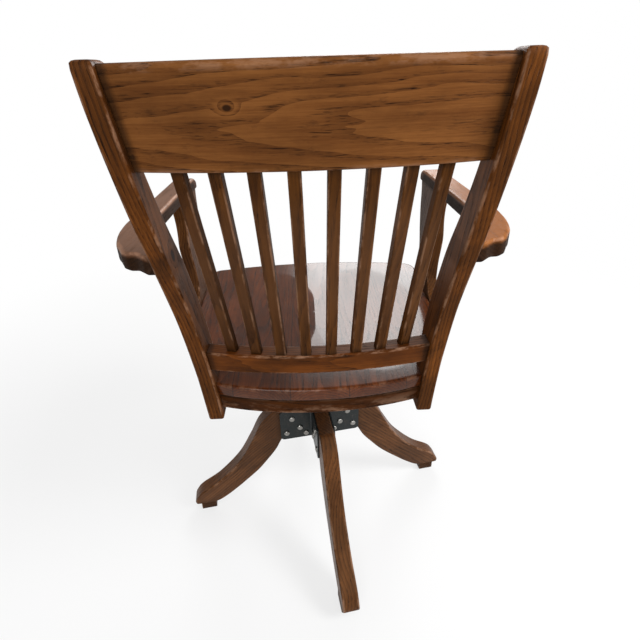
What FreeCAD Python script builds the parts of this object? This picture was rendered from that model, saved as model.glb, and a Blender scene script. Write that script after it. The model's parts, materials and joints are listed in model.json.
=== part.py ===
import FreeCAD, Part
import math
import os

# A bankers swivel chair in dark oak: curved legs on a hub, a height screw, a tilt iron with its
# spring, a shaped seat, a slatted curved back and paddle arms. Front is -Y, up is +Z, and the
# origin lies on the floor under the swivel axis. Everything is in millimetres and degrees.

V = FreeCAD.Vector
UP = V(0, 0, 1)
ALONG_X = V(1, 0, 0)
ALONG_Y = V(0, 1, 0)

doc = FreeCAD.newDocument("BankersChair")
book = doc.addObject("Spreadsheet::Sheet", "Sizes")

DRIVING_SIZES = [
    # legs, feet and hub
    ("base_turn", 8.6, "turn of the leg cross as photographed"),
    ("leg_count", 4, "legs"),
    ("leg_thick", 34, "thickness of a leg"),
    ("leg_reach", 317, "tip of a foot from the swivel axis"),
    ("leg_shoulder", 105, "end of the flat on top of a leg"),
    ("leg_armpit", 88, "end of the flat under a leg"),
    ("leg_toe_height", 30, "top of the toe's nose"),
    ("leg_nose", 4, "rounding of the toe's nose"),
    ("leg_sole_rest", 6, "flat of the sole behind a foot pad"),
    ("hub_low", 196, "underside of the legs at the hub"),
    ("hub_top", 281, "top of the legs at the hub"),
    ("hub_tube_radius", 20, "outside of the hub tube"),
    ("foot_tall", 22, "height of a foot pad"),
    ("foot_long", 36, "length of a foot pad"),
    ("foot_back", 13, "foot pad behind the tip of the toe"),
    ("foot_bevel", 4, "bevel round the bottom of a foot pad"),
    ("plate_thick", 3, "steel of the angle plates"),
    ("plate_end", 94, "end of an angle plate from the swivel axis"),
    ("plate_bend", 4, "outer bend of an angle plate"),
    ("plate_corner", 9, "rounded corners of an angle plate"),
    ("rivet_radius", 3, "shank of a rivet"),
    ("rivet_head_radius", 6.5, "head of a rivet"),
    ("rivet_head_tall", 3, "height of a rivet head"),
    ("rivet_head_ease", 1.2, "bevel round a rivet head"),
    ("shank_sides", 8, "sides of a rivet's or screw's shank"),
    ("head_sides", 12, "sides of a rivet's or screw's head"),
    # height screw
    ("run_gap", 0.3, "clearance between pieces that move past each other"),
    ("pin_gap", 0.06, "radial clearance of a pin that turns in its bore"),
    ("spindle_radius", 13, "height screw"),
    ("spindle_low", 205, "lower end of the screw as photographed"),
    ("bearing_radius", 38, "plate on top of the hub"),
    ("bearing_thick", 6, "plate on top of the hub"),
    ("washer_radius", 30, "thrust washer"),
    ("washer_thick", 3, "thrust washer"),
    ("nut_radius", 26, "round body of the height nut"),
    ("nut_tall", 28, "height nut"),
    ("nut_lug_reach", 37, "tip of a lug of the height nut"),
    ("nut_lug_wide", 14, "lug of the height nut"),
    ("nut_lug_tall", 17, "lug of the height nut"),
    ("nut_lugs", 4, "lugs of the height nut"),
    # tilt iron
    ("yoke_low", 384, "lower end of the yoke's boss"),
    ("yoke_boss_radius", 24, "boss that holds the screw"),
    ("yoke_web_low", 420, "underside of the yoke's web"),
    ("yoke_web_thick", 12, "web of the yoke"),
    ("yoke_arm_wall", 11, "yoke's metal beside the tension rod"),
    ("yoke_neck", 22, "length over which the yoke narrows to its arm"),
    ("tilt_y", 15, "tilt axis behind the swivel axis"),
    ("tilt_z", 458, "height of the tilt axis"),
    ("tilt_pin_radius", 8, "tilt pin"),
    ("tilt_pin_proud", 3, "tilt pin outside the ears"),
    ("cheek_inner", 34, "inside of a yoke cheek from the middle"),
    ("cheek_thick", 12, "yoke cheek"),
    ("ear_thick", 6, "ear of the seat iron"),
    ("ear_round", 13, "round end of cheeks and ears"),
    ("cheek_root", 9, "widening of a cheek down to the web"),
    ("ear_root", 14, "widening of an ear up to the seat iron's plate"),
    ("fork_root", 6, "widening of a fork tongue up to that plate"),
    ("iron_thick", 6, "plate of the seat iron"),
    ("iron_half", 66, "half width of the seat iron"),
    ("iron_front", -100, "front end of the seat iron"),
    ("iron_rear", 92, "rear end of the seat iron"),
    ("iron_corner", 10, "rounded corners of the seat iron"),
    ("iron_window_half", 28, "half width of the window in the seat iron"),
    ("iron_window_front", -38, "front end of that window"),
    ("iron_window_rear", 58, "rear end of that window"),
    ("iron_screw_radius", 3, "screws of the seat iron"),
    ("iron_screw_head", 6, "head radius of those screws"),
    ("iron_screw_head_tall", 3, "head of those screws"),
    ("iron_screw_long", 13, "screw inside the seat board"),
    ("iron_screw_edge", 12, "screws from the seat iron's edges"),
    ("iron_screw_middle", -24, "place of the middle pair of screws"),
    # tension rod and spring
    ("rod_y", -70, "tension rod in front of the swivel axis"),
    ("rod_pin_z", 449, "pin at the head of the tension rod"),
    ("rod_radius", 5, "tension rod"),
    ("rod_eye_radius", 9, "eye of the tension rod"),
    ("rod_eye_wide", 14, "eye of the tension rod"),
    ("rod_pin_radius", 4, "pin of the tension rod"),
    ("rod_pin_proud", 1.5, "pin outside the fork"),
    ("rod_low", 346, "lower end of the tension rod"),
    ("rod_slot_travel", 2, "sway of the rod in the yoke's slot, each way"),
    ("rod_slot_side", 1.2, "clearance beside the rod in that slot"),
    ("spring_long", 46, "spring between yoke and cup"),
    ("spring_mid_radius", 11.5, "middle of the spring's wire"),
    ("spring_wire", 4, "wire of the spring"),
    ("spring_turns", 5, "turns of the spring"),
    ("spring_sides", 6, "sides of the spring's wire"),
    ("cup_radius", 17, "cup under the spring"),
    ("cup_thick", 6, "cup under the spring"),
    ("wheel_radius", 24, "hand wheel"),
    ("wheel_tall", 13, "hand wheel"),
    ("wheel_scoops", 6, "finger hollows round the hand wheel"),
    ("wheel_scoop_radius", 6, "finger hollow of the hand wheel"),
    ("wheel_scoop_out", 2.7, "middle of a finger hollow outside the wheel's edge"),
    # seat
    ("seat_top", 512, "top of the seat above the floor"),
    ("board_thick", 22, "seat board"),
    ("band_tall", 29, "band under the edge of the seat"),
    ("band_wide", 42, "width of the band's wood"),
    ("band_inset", 2, "band behind the edge of the board"),
    ("seat_front", -280, "middle of the front edge"),
    ("front_bow", 22, "bow of the front edge"),
    ("front_corner", 232, "start of the rounded front corner"),
    ("corner_long", 38, "length of that corner along the side"),
    ("seat_half", 266, "half width behind the front corner"),
    ("waist_half", 256, "half width at the middle of the side"),
    ("waist_y", -40, "place of the waist"),
    ("seat_rear", 227, "middle of the rear edge"),
    ("rear_sag", 25, "rear edge at the posts in front of its middle"),
    ("seat_post_front", 163, "place where the seat's edge meets a post's outer face"),
    ("seat_in_post", 2, "seat's edge inside that face"),
    ("saddle_deep", 8.5, "depth of the thigh hollows"),
    ("saddle_wide", 118, "half width of a thigh hollow"),
    ("saddle_long", 205, "half length of a thigh hollow"),
    ("saddle_apart", 112, "thigh hollow from the middle"),
    ("saddle_y", -25, "middle of the thigh hollows"),
    # back
    ("post_lean", 6.97, "sideways lean of a post"),
    ("post_thick", 25, "thickness of a post"),
    ("post_foot_half", 192, "outer face of a post at post_foot"),
    ("post_foot", 447, "lower end of a post"),
    ("post_top", 1004, "top of a post"),
    ("post_heel", 216, "rear edge of a post's foot"),
    ("post_deep", 50, "depth of a post's foot"),
    ("post_foot_bevel", 5, "bevels of a post's foot"),
    ("post_top_rear", 44, "rear edge of a post's top behind its heel"),
    ("post_top_front", 4.5, "front edge of a post's top behind its heel"),
    ("post_top_round", 7, "rounding of a post's top"),
    ("rail_low", 543, "underside of the lower rail"),
    ("rail_tall", 34, "lower rail"),
    ("rail_thick", 30, "lower rail"),
    ("rail_rear", 222, "rear face of the lower rail at its middle"),
    ("rail_sag", 18, "curve of the lower rail"),
    ("rail_half", 174, "half span over which rail_sag holds"),
    ("crest_low", 879, "underside of the crest rail"),
    ("crest_tall", 121, "crest rail"),
    ("crest_thick", 27, "crest rail"),
    ("crest_slope", 7, "backward slope of the crest rail"),
    ("crest_rear", 269, "rear face of the crest rail at the middle of its underside"),
    ("crest_sag", 28, "curve of the crest rail"),
    ("crest_half", 225, "half span over which crest_sag holds"),
    ("crest_round", 4, "rounding of the crest's edges"),
    ("slat_count", 8, "slats"),
    ("slat_wide", 17, "width of a slat"),
    ("slat_thick", 13, "thickness of a slat"),
    ("slat_ease", 2, "bevel along a slat's edges"),
    ("slat_tenon", 10, "slat inside each rail"),
    ("slat_pitch_low", 40.5, "distance between slats at the lower rail"),
    ("slat_pitch_high", 48.6, "distance between slats at the crest"),
    ("slat_inset", 2, "middle slats behind the rails' rear faces"),
    ("slat_curve_low", 511, "radius of the slat row at the lower rail"),
    ("slat_curve_high", 610, "radius of the slat row at the crest"),
    # arms
    ("arm_top", 760, "top of the arms above the floor"),
    ("arm_thick", 30, "arm"),
    ("arm_inner", 276, "inner edge of an arm from the middle"),
    ("arm_wide", 44, "width of the straight part of an arm"),
    ("arm_front", -277, "front end of an arm"),
    ("arm_nose", 38, "length of the rounding at the front end"),
    ("arm_corner", 8, "rounded corners of the arm's front end, seen from above"),
    ("arm_swell", 73, "place where an arm starts to widen into its paddle"),
    ("arm_behind", 5, "rear end of an arm behind a post's heel"),
    ("support_thick", 24, "arm support"),
    ("support_lean", 6.3, "outward lean of an arm support"),
    ("support_half", 257, "inner face of a support at the seat's top"),
    ("support_foot", 470, "lower end of a support"),
    ("support_front", -196, "front edge of a support at the seat's top"),
    ("support_long", 162, "length of a support in the seat's edge"),
    ("support_let_in", 3, "support blank above the arm's underside, trimmed by the arm"),
    # screws through the supports and posts into the seat
    ("side_screw_radius", 4, "screw through a support or post"),
    ("side_screw_head", 7, "head of that screw"),
    ("side_screw_head_tall", 3, "head of that screw"),
    ("side_screw_plug", 2.2, "wood over that head"),
    ("side_screw_heel", 30, "screw in front of a post's heel"),
    ("side_screw_bite", 30, "screw inside the seat board"),
]


def fillSheet():
    for row, (alias, value, meaning) in enumerate(DRIVING_SIZES, start=1):
        book.set("A%d" % row, alias)
        book.set("B%d" % row, str(value))
        book.setAlias("B%d" % row, alias)
        book.set("C%d" % row, meaning)
    doc.recompute()


def size(alias):
    """The value of one cell of the sheet."""
    return float(getattr(book, alias))


fillSheet()


def outline(start, steps):
    """Edges of a closed outline in a plane. A step is ("line", end), ("arc", through, end) or
    ("curve", points, end); the last step comes back to the start."""
    edges = []
    here = V(start[0], start[1], 0)
    for step in steps:
        end = V(step[-1][0], step[-1][1], 0)
        if step[0] == "line":
            edges.append(Part.LineSegment(here, end))
        elif step[0] == "arc":
            edges.append(Part.Arc(here, V(step[1][0], step[1][1], 0), end))
        else:
            curve = Part.BSplineCurve()
            curve.interpolate([here] + [V(x, y, 0) for x, y in step[1]] + [end])
            edges.append(curve)
        here = end
    return edges


def circle(x, y, radius):
    return [Part.Circle(V(x, y, 0), UP, radius)]


def rectangle(x_low, y_low, x_high, y_high):
    return outline((x_low, y_low), [("line", (x_high, y_low)), ("line", (x_high, y_high)),
                                    ("line", (x_low, y_high)), ("line", (x_low, y_low))])


def newBody(name):
    return doc.addObject("PartDesign::Body", name)


def addSketch(body, name, plane, edges, offset=0.0):
    """A sketch on one of the body's own origin planes, moved along the plane's normal."""
    sketch = body.newObject("Sketcher::SketchObject", name)
    origin_plane = [f for f in body.Origin.OriginFeatures if f.Role == plane][0]
    sketch.AttachmentSupport = [(origin_plane, "")]
    sketch.MapMode = "FlatFace"
    sketch.AttachmentOffset = FreeCAD.Placement(V(0, 0, offset), FreeCAD.Rotation())
    for edge in edges:
        sketch.addGeometry(edge, False)
    return sketch


def pad(body, plane, edges, length, offset=0.0, symmetric=False, name="pad"):
    """Adds material: length is an expression on the sheet."""
    feature = body.newObject("PartDesign::Pad", body.Name + "_" + name)
    feature.Profile = addSketch(body, body.Name + "_" + name + "_sketch", plane, edges, offset)
    feature.setExpression("Length", length)
    feature.SideType = "Symmetric" if symmetric else "One side"
    return feature


def pocket(body, plane, edges, length, offset=0.0, symmetric=False, reverse=False, name="pocket"):
    """Takes material away and makes sure that some went."""
    doc.recompute()
    before = body.Shape.Volume
    feature = body.newObject("PartDesign::Pocket", body.Name + "_" + name)
    feature.Profile = addSketch(body, body.Name + "_" + name + "_sketch", plane, edges, offset)
    feature.setExpression("Length", length)
    feature.SideType = "Symmetric" if symmetric else "One side"
    feature.Reversed = reverse
    doc.recompute()
    if not body.Shape.Volume < before - 1e-3:
        raise RuntimeError(body.Name + ": " + name + " cuts nothing")
    return feature


def roundEdges(body, wanted, radius, name="rounding"):
    """Fillets the edges for which wanted(edge) is true."""
    doc.recompute()
    base = body.Tip
    names = ["Edge%d" % (i + 1) for i, e in enumerate(base.Shape.Edges) if wanted(e)]
    if not names:
        raise RuntimeError(body.Name + ": no edge to round")
    feature = body.newObject("PartDesign::Fillet", body.Name + "_" + name)
    feature.Base = (base, names)
    feature.setExpression("Radius", radius)
    doc.recompute()
    return feature


def cylinder(name, radius, height, place, turn=None):
    """A Part::Cylinder from place along +Z, turned by turn."""
    rod = doc.addObject("Part::Cylinder", name)
    rod.setExpression("Radius", radius)
    rod.setExpression("Height", height)
    rod.Placement = FreeCAD.Placement(place, turn or FreeCAD.Rotation())
    return rod


def prism(name, sides, radius, height, place, turn=None):
    """A Part::Prism from place along +Z, turned by turn, for what repeats many times."""
    stud = doc.addObject("Part::Prism", name)
    stud.setExpression("Polygon", sides)
    stud.setExpression("Circumradius", radius)
    stud.setExpression("Height", height)
    stud.Placement = FreeCAD.Placement(place, turn or FreeCAD.Rotation())
    return stud


def eased(name, blank, wanted, width):
    """The blank with a bevel along the edges for which wanted(edge) is true."""
    doc.recompute()
    bevelled = doc.addObject("Part::Chamfer", name)
    bevelled.Base = blank
    bevelled.Edges = [(i + 1, width, width) for i, e in enumerate(blank.Shape.Edges) if wanted(e)]
    return bevelled


def fuse(name, shapes):
    joined = doc.addObject("Part::MultiFuse", name)
    joined.Shapes = shapes
    return joined


def group(name, shapes):
    """Separate solids that share one node."""
    together = doc.addObject("Part::Compound", name)
    together.Links = shapes
    return together


def cut(name, base, tools):
    """base without tools, so that it fits round them face to face."""
    result = doc.addObject("Part::Cut", name)
    result.Base = base
    result.Tool = tools[0] if len(tools) == 1 else group(name + "_tools", tools)
    return result


def mirrorX(name, source):
    """The right-hand twin of a left-hand piece."""
    twin = doc.addObject("Part::Mirroring", name)
    twin.Source = source
    twin.Normal = ALONG_X
    return twin


def toX():
    """Turns +Z to +X."""
    return FreeCAD.Rotation(ALONG_Y, 90)


nodes = {}


def keep(name, piece):
    piece.Label = name
    nodes[name] = piece
    return piece


# Places that several pieces share

board_low = size("seat_top") - size("board_thick")
band_low = board_low - size("band_tall")
lean = math.radians(size("post_lean"))
support_slope = math.radians(size("support_lean"))
LEG_NAMES = ["left", "rear", "right", "front"]


def onCircle(rear, radius, x):
    """The y of a row that curves forward on both sides of its middle."""
    return rear - radius + math.sqrt(radius ** 2 - x ** 2)


def bowRadius(sag, half):
    return (half ** 2 + sag ** 2) / (2 * sag)


def postOuter(z):
    """The x of a post's outer face at a height."""
    return size("post_foot_half") + math.tan(lean) * (z - size("post_foot"))


def postInner(z):
    return postOuter(z) - size("post_thick") / math.cos(lean)


# Legs: a flat on the hub, a falling shoulder, a long hollow sweep and a low toe.
# The sweeps are given as shares of the way from the hub to the toe.

LEG_TOP_SWEEP = [(0.165, 0.876), (0.283, 0.677), (0.439, 0.454), (0.684, 0.239), (0.91, 0.112)]
LEG_UNDER_SWEEP = [(0.959, 0.03), (0.781, 0.15), (0.574, 0.32), (0.396, 0.479), (0.249, 0.651),
                   (0.118, 0.822)]


def makeLeg(name, angle):
    reach, toe = size("leg_reach"), size("leg_toe_height")
    shoulder, top = size("leg_shoulder"), size("hub_top")
    armpit, low, sole = size("leg_armpit"), size("hub_low"), size("foot_tall")
    heel = reach - size("foot_back") - size("foot_long") - size("leg_sole_rest")
    nose = size("leg_nose")
    over = [(shoulder + u * (reach - shoulder), toe + w * (top - toe)) for u, w in LEG_TOP_SWEEP]
    under = [(armpit + u * (heel - armpit), sole + w * (low - sole)) for u, w in LEG_UNDER_SWEEP]
    body = newBody(name + "_blank")
    inner = size("hub_tube_radius")
    pad(body, "XZ_Plane", outline((inner, low), [
        ("line", (inner, top)),
        ("line", (shoulder, top)),
        ("curve", over, (reach - nose / 4, toe + nose)),
        ("arc", (reach + nose / 8, toe - nose / 4), (reach - nose, sole)),
        ("line", (heel, sole)),
        ("curve", under, (armpit, low)),
        ("line", (inner, low))]), "Sizes.leg_thick", symmetric=True)
    body.Placement = FreeCAD.Placement(V(0, 0, 0), FreeCAD.Rotation(UP, angle))
    return body


def makeFootPad(name, angle):
    """A square block under the toe with a bevel round its foot."""
    long, wide = size("foot_long"), size("leg_thick")
    far = size("leg_reach") - size("foot_back")
    body = newBody(name)
    block = pad(body, "XY_Plane", rectangle(far - long, -wide / 2, far, wide / 2),
                "Sizes.foot_tall")
    doc.recompute()
    bottom = ["Edge%d" % (i + 1) for i, e in enumerate(block.Shape.Edges)
              if e.BoundBox.ZMax < 1e-3]
    bevel = body.newObject("PartDesign::Chamfer", name + "_bevel")
    bevel.Base = (block, bottom)
    bevel.setExpression("Size", "Sizes.foot_bevel")
    body.Placement = FreeCAD.Placement(V(0, 0, 0), FreeCAD.Rotation(UP, angle))
    return keep(name, body)


# Rivets in a leg: distance from the swivel axis and height above the hub's underside.
RIVET_PLACES = [(34, 12), (48, 31), (80, 19), (66, 60)]


def makeRivets(name, angle):
    """Rivets through both angle plates and the leg between them."""
    turn = FreeCAD.Rotation(UP, angle)
    half = size("leg_thick") / 2 + size("plate_thick")
    rivets = []
    for index, (distance, above) in enumerate(RIVET_PLACES):
        z = size("hub_low") + above
        across = FreeCAD.Rotation(ALONG_X, -90)
        tag = "%s_%d" % (name, index + 1)
        shank = prism(tag + "_shank", "Sizes.shank_sides", "Sizes.rivet_radius",
                      "Sizes.leg_thick + 2 * Sizes.plate_thick",
                      turn.multVec(V(distance, -half, z)), turn * across)
        heads = []
        for side, end in ((1, "a"), (-1, "b")):
            blank = prism("%s_blank_%s" % (tag, end), "Sizes.head_sides",
                          "Sizes.rivet_head_radius", "Sizes.rivet_head_tall",
                          turn.multVec(V(distance, side * half, z)),
                          turn * FreeCAD.Rotation(ALONG_X, -90 * side))
            outer = side * (half + size("rivet_head_tall"))
            heads.append(eased("%s_head_%s" % (tag, end), blank, lambda e: all(
                abs(turn.inverted().multVec(v.Point).y - outer) < 1e-3 for v in e.Vertexes),
                size("rivet_head_ease")))
        rivets.append(fuse(tag, [shank] + heads))
    return rivets


def makeAnglePlate(name, angle):
    """Bent steel in the corner between two legs, on the side faces of both."""
    near = size("leg_thick") / 2
    far, thick, bend = size("plate_end"), size("plate_thick"), size("plate_bend")
    skew = bend * (1 - math.sqrt(0.5))
    body = newBody(name + "_blank")
    pad(body, "XY_Plane", outline((near, near), [
        ("line", (far, near)),
        ("line", (far, near + thick)),
        ("line", (near + thick + bend, near + thick)),
        ("arc", (near + thick + skew, near + thick + skew), (near + thick, near + thick + bend)),
        ("line", (near + thick, far)),
        ("line", (near, far)),
        ("line", (near, near))]), "Sizes.hub_top - Sizes.hub_low", offset=size("hub_low"))
    roundEdges(body, lambda e: e.BoundBox.ZLength < 1e-3 and abs(e.Length - thick) < 1e-3
               and max(e.BoundBox.XMax, e.BoundBox.YMax) > far - 1e-3, "Sizes.plate_corner")
    body.Placement = FreeCAD.Placement(V(0, 0, 0), FreeCAD.Rotation(UP, angle))
    return body


def makeBase():
    step = 360 / size("leg_count")
    rivets = []
    for index, side in enumerate(LEG_NAMES):
        rivets.append(makeRivets("rivet_" + side, size("base_turn") + index * step))
    for index, side in enumerate(LEG_NAMES):
        angle = size("base_turn") + index * step
        leg = makeLeg("leg_" + side, angle)
        keep("leg_" + side, cut("leg_" + side, leg, rivets[index]))
        makeFootPad("foot_pad_" + side, angle)
        plate = makeAnglePlate("hub_plate_" + str(index + 1), angle)
        around = rivets[index] + rivets[(index + 1) % len(LEG_NAMES)]
        keep("hub_plate_" + str(index + 1), cut("hub_plate_" + str(index + 1), plate, around))
    keep("hub_rivets", group("hub_rivets", [r for row in rivets for r in row]))

    tube = newBody("hub_tube")
    bore = size("spindle_radius") + size("run_gap")
    pad(tube, "XY_Plane", circle(0, 0, size("hub_tube_radius")) + circle(0, 0, bore),
        "Sizes.hub_top - Sizes.hub_low", offset=size("hub_low"))
    keep("hub_tube", tube)

    bearing = newBody("bearing_plate")
    pad(bearing, "XY_Plane", circle(0, 0, size("bearing_radius")) + circle(0, 0, bore),
        "Sizes.bearing_thick", offset=size("hub_top"))
    keep("bearing_plate", bearing)


# Height screw: the washer turns on the bearing plate, the nut on the washer, and the screw
# slides through both.

washer_low = size("hub_top") + size("bearing_thick") + size("run_gap")
nut_low = washer_low + size("washer_thick") + size("run_gap")


def makeHeightScrew():
    bore = size("spindle_radius") + size("run_gap")
    washer = newBody("thrust_washer")
    pad(washer, "XY_Plane", circle(0, 0, size("washer_radius")) + circle(0, 0, bore),
        "Sizes.washer_thick", offset=washer_low)
    keep("thrust_washer", washer)

    nut = newBody("height_nut")
    pad(nut, "XY_Plane", circle(0, 0, size("nut_radius")), "Sizes.nut_tall", offset=nut_low)
    reach, half = size("nut_lug_reach"), size("nut_lug_wide") / 2
    lug = pad(nut, "XY_Plane", outline((0, -half), [
        ("line", (reach - half, -half)), ("arc", (reach, 0), (reach - half, half)),
        ("line", (0, half)), ("line", (0, -half))]),
        "Sizes.nut_lug_tall", offset=nut_low + (size("nut_tall") - size("nut_lug_tall")) / 2,
        name="lug")
    lugs = nut.newObject("PartDesign::PolarPattern", "height_nut_lugs")
    lugs.Originals = [lug]
    lugs.Axis = ([f for f in nut.Origin.OriginFeatures if f.Role == "Z_Axis"][0], [""])
    lugs.Angle = 360
    lugs.setExpression("Occurrences", "Sizes.nut_lugs")
    nut.Tip = lugs
    pocket(nut, "XY_Plane", circle(0, 0, bore), "Sizes.nut_tall", offset=nut_low, reverse=True,
           name="bore")
    keep("height_nut", nut)

    spindle = newBody("spindle")
    pad(spindle, "XY_Plane", circle(0, 0, size("spindle_radius")),
        "Sizes.yoke_web_low + Sizes.yoke_web_thick - Sizes.spindle_low",
        offset=size("spindle_low"))
    keep("spindle", spindle)


# Tilt iron: the yoke stands on the screw and holds the tilt pin between two cheeks. The seat
# iron hangs from the seat board and turns on that pin outside the cheeks.

def ear(center_y, center_z, radius, root_half, root_z):
    """A tongue from a flat root to a round end, as an outline in the YZ plane."""
    below = -1 if root_z > center_z else 1
    return outline((center_y - root_half, root_z), [
        ("line", (center_y - radius, center_z)),
        ("arc", (center_y, center_z + below * radius), (center_y + radius, center_z)),
        ("line", (center_y + root_half, root_z)),
        ("line", (center_y - root_half, root_z))])


def makeYoke():
    web_top = size("yoke_web_low") + size("yoke_web_thick")
    cheek_out = size("cheek_inner") + size("cheek_thick")
    round_end, y, z = size("ear_round"), size("tilt_y"), size("tilt_z")
    root = round_end + size("cheek_root")
    yoke = newBody("yoke")
    pad(yoke, "XY_Plane", circle(0, 0, size("yoke_boss_radius")),
        "Sizes.yoke_web_low + Sizes.yoke_web_thick - Sizes.yoke_low", offset=size("yoke_low"))
    arm_half = size("rod_radius") + size("yoke_arm_wall")
    neck, tip = size("yoke_neck"), size("rod_y")
    bend_x, bend_y = arm_half + neck * 0.32, y - root - neck * 0.36
    pad(yoke, "XY_Plane", outline((-cheek_out, y + root), [
        ("line", (-cheek_out, y - root)),
        ("arc", (-bend_x, bend_y), (-arm_half, y - root - neck)),
        ("line", (-arm_half, tip)),
        ("arc", (0, tip - arm_half), (arm_half, tip)),
        ("line", (arm_half, y - root - neck)),
        ("arc", (bend_x, bend_y), (cheek_out, y - root)),
        ("line", (cheek_out, y + root)),
        ("line", (-cheek_out, y + root))]),
        "Sizes.yoke_web_thick", offset=size("yoke_web_low"), name="web")
    for side, start in (("left", size("cheek_inner")), ("right", -cheek_out)):
        pad(yoke, "YZ_Plane", ear(y, z, round_end, root, web_top), "Sizes.cheek_thick",
            offset=start, name="cheek_" + side)
    pocket(yoke, "YZ_Plane", circle(y, z, size("tilt_pin_radius")),
           "4 * (Sizes.cheek_inner + Sizes.cheek_thick)", symmetric=True, name="pin_bore")
    pocket(yoke, "XY_Plane", circle(0, 0, size("spindle_radius")),
           "Sizes.yoke_web_low + Sizes.yoke_web_thick - Sizes.yoke_low",
           offset=size("yoke_low"), reverse=True, name="screw_bore")
    slot, sway = size("rod_radius") + size("rod_slot_side"), size("rod_slot_travel")
    pocket(yoke, "XY_Plane", outline((-slot, tip - sway), [
        ("arc", (0, tip - sway - slot), (slot, tip - sway)),
        ("line", (slot, tip + sway)),
        ("arc", (0, tip + sway + slot), (-slot, tip + sway)),
        ("line", (-slot, tip - sway))]),
        "Sizes.yoke_web_thick", offset=size("yoke_web_low"), reverse=True, name="rod_slot")
    keep("yoke", yoke)

    ear_out = cheek_out + size("run_gap") + size("ear_thick")
    keep("tilt_pin", cylinder("tilt_pin", "Sizes.tilt_pin_radius",
                              "2 * (Sizes.cheek_inner + Sizes.cheek_thick + Sizes.run_gap"
                              " + Sizes.ear_thick + Sizes.tilt_pin_proud)",
                              V(-ear_out - size("tilt_pin_proud"), y, z), toX()))


def ironScrewPlaces():
    """Where the seat iron's screws stand: three along each long edge."""
    edge = size("iron_screw_edge")
    x = size("iron_half") - edge
    return [(side * x, y) for side in (1, -1)
            for y in (size("iron_front") + edge, size("iron_screw_middle"),
                      size("iron_rear") - edge)]


def makeSeatIron():
    half, front, rear = size("iron_half"), size("iron_front"), size("iron_rear")
    window, under = size("iron_window_half"), board_low - size("iron_thick")
    y, z, round_end = size("tilt_y"), size("tilt_z"), size("ear_round")
    ear_start = size("cheek_inner") + size("cheek_thick") + size("run_gap")
    turn = size("iron_corner")
    skew = turn * (1 - math.sqrt(0.5))
    iron = newBody("seat_iron_blank")
    pad(iron, "XY_Plane", outline((-half, front + turn), [
        ("arc", (-half + skew, front + skew), (-half + turn, front)),
        ("line", (half - turn, front)),
        ("arc", (half - skew, front + skew), (half, front + turn)),
        ("line", (half, rear - turn)),
        ("arc", (half - skew, rear - skew), (half - turn, rear)),
        ("line", (-half + turn, rear)),
        ("arc", (-half + skew, rear - skew), (-half, rear - turn)),
        ("line", (-half, front + turn))]), "Sizes.iron_thick", offset=under)
    for side, start in (("left", ear_start), ("right", -ear_start - size("ear_thick"))):
        pad(iron, "YZ_Plane", ear(y, z, round_end, round_end + size("ear_root"), under),
            "Sizes.ear_thick", offset=start, name="ear_" + side)
    fork = size("rod_eye_wide") / 2 + size("run_gap")
    for side, start in (("left", fork), ("right", -fork - size("ear_thick"))):
        pad(iron, "YZ_Plane", ear(size("rod_y"), size("rod_pin_z"), size("rod_eye_radius"),
                                  size("rod_eye_radius") + size("fork_root"), under),
            "Sizes.ear_thick", offset=start, name="fork_" + side)
    pocket(iron, "XY_Plane", rectangle(-window, size("iron_window_front"), window,
                                       size("iron_window_rear")),
           "Sizes.iron_thick", offset=under, reverse=True, name="window")
    bore = size("tilt_pin_radius") + size("pin_gap")
    pocket(iron, "YZ_Plane", circle(y, z, bore), "4 * Sizes.iron_half", symmetric=True,
           name="pin_bore")
    pocket(iron, "YZ_Plane", circle(size("rod_y"), size("rod_pin_z"), size("rod_pin_radius")),
           "4 * Sizes.rod_eye_wide", symmetric=True, name="rod_pin_bore")

    screws = []
    for index, (x, y_screw) in enumerate(ironScrewPlaces()):
        tag = "iron_screw_%d" % (index + 1)
        shank = prism(tag + "_shank", "Sizes.shank_sides", "Sizes.iron_screw_radius",
                      "Sizes.iron_thick + Sizes.iron_screw_long", V(x, y_screw, under))
        head = prism(tag + "_head", "Sizes.head_sides", "Sizes.iron_screw_head",
                     "Sizes.iron_screw_head_tall",
                     V(x, y_screw, under - size("iron_screw_head_tall")))
        screws.append(fuse(tag, [shank, head]))
    keep("seat_iron", cut("seat_iron", iron, screws))
    keep("iron_screws", group("iron_screws", screws))
    return screws


# Tension rod: it hangs from the seat iron, runs through the yoke's slot and pulls the spring
# up against the underside of the yoke when the seat leans back.

spring_top = size("yoke_web_low")
cup_top = spring_top - size("spring_long")
wheel_top = cup_top - size("cup_thick") - size("run_gap")


def biarc(start, start_way, end, end_way):
    """Two arcs that leave start along start_way and reach end along end_way."""
    gap = end - start
    both = start_way + end_way
    a = 2 * (1 - start_way.dot(end_way))
    b = 2 * gap.dot(both)
    c = -gap.dot(gap)
    reach = (-b + math.sqrt(b * b - 4 * a * c)) / (2 * a)
    meet = (start + start_way * reach + end - end_way * reach) * 0.5
    return [Part.Arc(*arcThrough(start, start_way, meet)).toShape(),
            Part.Arc(*reversed(arcThrough(end, end_way * -1, meet))).toShape()]


def arcThrough(start, way, end):
    """Three points of the arc that leaves start along way and passes end."""
    chord = end - start
    side = way.cross(chord).cross(way)
    side.normalize()
    radius = chord.dot(chord) / (2 * chord.dot(side))
    middle = start + side * radius
    toward = (start + end) * 0.5 - middle
    toward.normalize()
    return start, middle + toward * radius, end


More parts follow.
